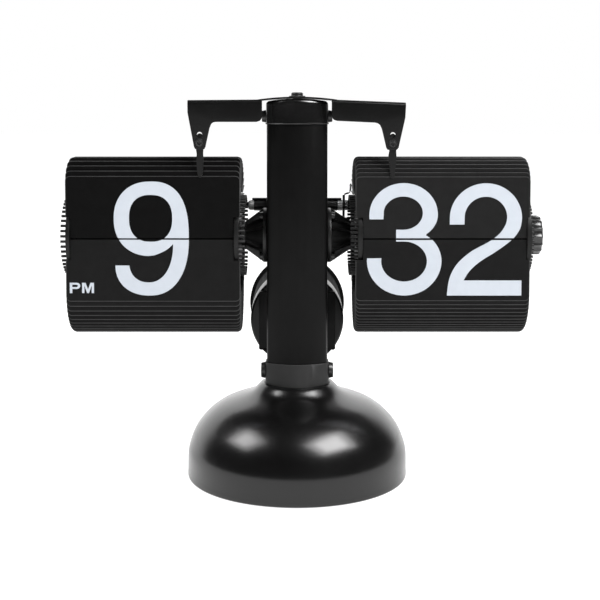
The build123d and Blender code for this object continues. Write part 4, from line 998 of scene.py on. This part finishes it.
def stage_floor():
    """One pale floor: a flat disc reaching far from the object."""
    verts, faces = [], []
    rings = [0.0, 0.05, 0.1, 0.2, 0.4, 0.8, 1.6, 3.2, 6.4, 12.0]
    seg = 64
    verts.append((0, 0, 0))
    for r in rings[1:]:
        for k in range(seg):
            a = 2 * math.pi * k / seg
            verts.append((r * math.cos(a), r * math.sin(a), 0))
    for k in range(seg):
        faces.append((0, 1 + k, 1 + (k + 1) % seg))
    for i in range(len(rings) - 2):
        for k in range(seg):
            q = (k + 1) % seg
            a, b = 1 + i * seg, 1 + (i + 1) * seg
            faces.append((a + k, b + k, b + q, a + q))
    mesh = bpy.data.meshes.new("floor")
    mesh.from_pydata(verts, [], faces)
    obj = bpy.data.objects.new("floor", mesh)
    scene.collection.objects.link(obj)
    m = Nodes("pale_floor")
    m.link(m.ramp(m.noise(3.0), [(0.3, grey(0.30)), (0.7, grey(0.33))]), m.bsdf.inputs["Base Color"])
    m.bsdf.inputs["Roughness"].default_value = 0.9
    m.bsdf.inputs["Specular IOR Level"].default_value = 0.1
    m.bsdf.inputs["Emission Color"].default_value = (1, 1, 1, 1)
    m.bsdf.inputs["Emission Strength"].default_value = 0.90
    mesh.materials.append(m.mat)
    return obj


stage_floor()


def softbox(name, at, to, size, power, colour=(1, 1, 1)):
    light = bpy.data.lights.new(name, "AREA")
    light.shape = "RECTANGLE"
    light.size, light.size_y = size
    light.energy = power
    light.color = colour
    obj = bpy.data.objects.new(name, light)
    scene.collection.objects.link(obj)
    obj.location = at
    obj.rotation_mode = "QUATERNION"
    obj.rotation_quaternion = (Vector(to) - Vector(at)).to_track_quat("-Z", "Y")
    obj.visible_camera = False
    return obj


softbox("box_left", (-1.01, -0.18, 1.14), (0, 0, 0.05), (0.84, 0.72), 9.5)
softbox("box_left_core", (-0.98, -0.175, 1.11), (0, 0, 0.05), (0.46, 0.42), 4.6)
softbox("box_right", (0.74, -0.54, 1.22), (0, 0, 0.05), (1.12, 0.82), 22)
softbox("box_right_core", (0.72, -0.525, 1.19), (0, 0, 0.05), (0.66, 0.52), 13)
fill = softbox("front_fill", (0.45, -1.2, 1.3), (0, 0, 0.1), (1.5, 1.2), 6)
fill.visible_glossy = False
rear = softbox("rear_fill", (-0.5, 1.3, 0.75), (0, 0, 0.1), (1.4, 1.0), 9)
rear.visible_glossy = False

world = bpy.data.worlds.new("studio")
scene.world = world
world.use_nodes = True
wt = world.node_tree
wt.nodes.clear()
w_out = wt.nodes.new("ShaderNodeOutputWorld")
w_mix = wt.nodes.new("ShaderNodeMixShader")
w_path = wt.nodes.new("ShaderNodeLightPath")
w_seen = wt.nodes.new("ShaderNodeBackground")
w_seen.inputs["Color"].default_value = (1, 1, 1, 1)
w_seen.inputs["Strength"].default_value = 1.0
w_room = wt.nodes.new("ShaderNodeBackground")
w_coord = wt.nodes.new("ShaderNodeTexCoord")
w_split = wt.nodes.new("ShaderNodeSeparateXYZ")
wt.links.new(w_coord.outputs["Generated"], w_split.inputs[0])


def w_range(src, a, b, c, d):
    n = wt.nodes.new("ShaderNodeMapRange")
    n.interpolation_type = "SMOOTHSTEP"
    n.inputs["From Min"].default_value = a
    n.inputs["From Max"].default_value = b
    n.inputs["To Min"].default_value = c
    n.inputs["To Max"].default_value = d
    wt.links.new(src, n.inputs["Value"])
    return n.outputs[0]


def w_math(op, a, b):
    n = wt.nodes.new("ShaderNodeMath")
    n.operation = op
    for s, v in zip(n.inputs, (a, b)):
        if isinstance(v, float):
            s.default_value = v
        else:
            wt.links.new(v, s)
    return n.outputs[0]


turned = w_math("SUBTRACT", w_split.outputs["Y"], w_math("MULTIPLY", w_split.outputs["X"], 0.13))
back = w_range(turned, 0.40, 0.74, 0.0, 1.0)                    # pale wall behind
low = w_range(w_split.outputs["Z"], 0.56, 0.78, 1.0, 0.0)       # darker ceiling
lit = w_math("MULTIPLY", w_math("MULTIPLY", back, low), 1.72)
room = w_math("ADD", lit, 0.03)
wt.links.new(room, w_room.inputs["Strength"])
w_room.inputs["Color"].default_value = (1, 1, 1, 1)
wt.links.new(w_path.outputs["Is Camera Ray"], w_mix.inputs[0])
wt.links.new(w_room.outputs[0], w_mix.inputs[1])
wt.links.new(w_seen.outputs[0], w_mix.inputs[2])
wt.links.new(w_mix.outputs[0], w_out.inputs[0])

cam_data = bpy.data.cameras.new("camera")
cam = bpy.data.objects.new("camera", cam_data)
scene.collection.objects.link(cam)
cam.location = (0.0, -0.490, 0.155)
cam.rotation_euler = (math.radians(90 - 3.065), 0, 0)
cam_data.sensor_width = 36.0
cam_data.lens = 67.80
cam_data.shift_x = 0.0048
cam_data.shift_y = -0.20
cam_data.clip_start, cam_data.clip_end = 0.01, 50.0
scene.camera = cam
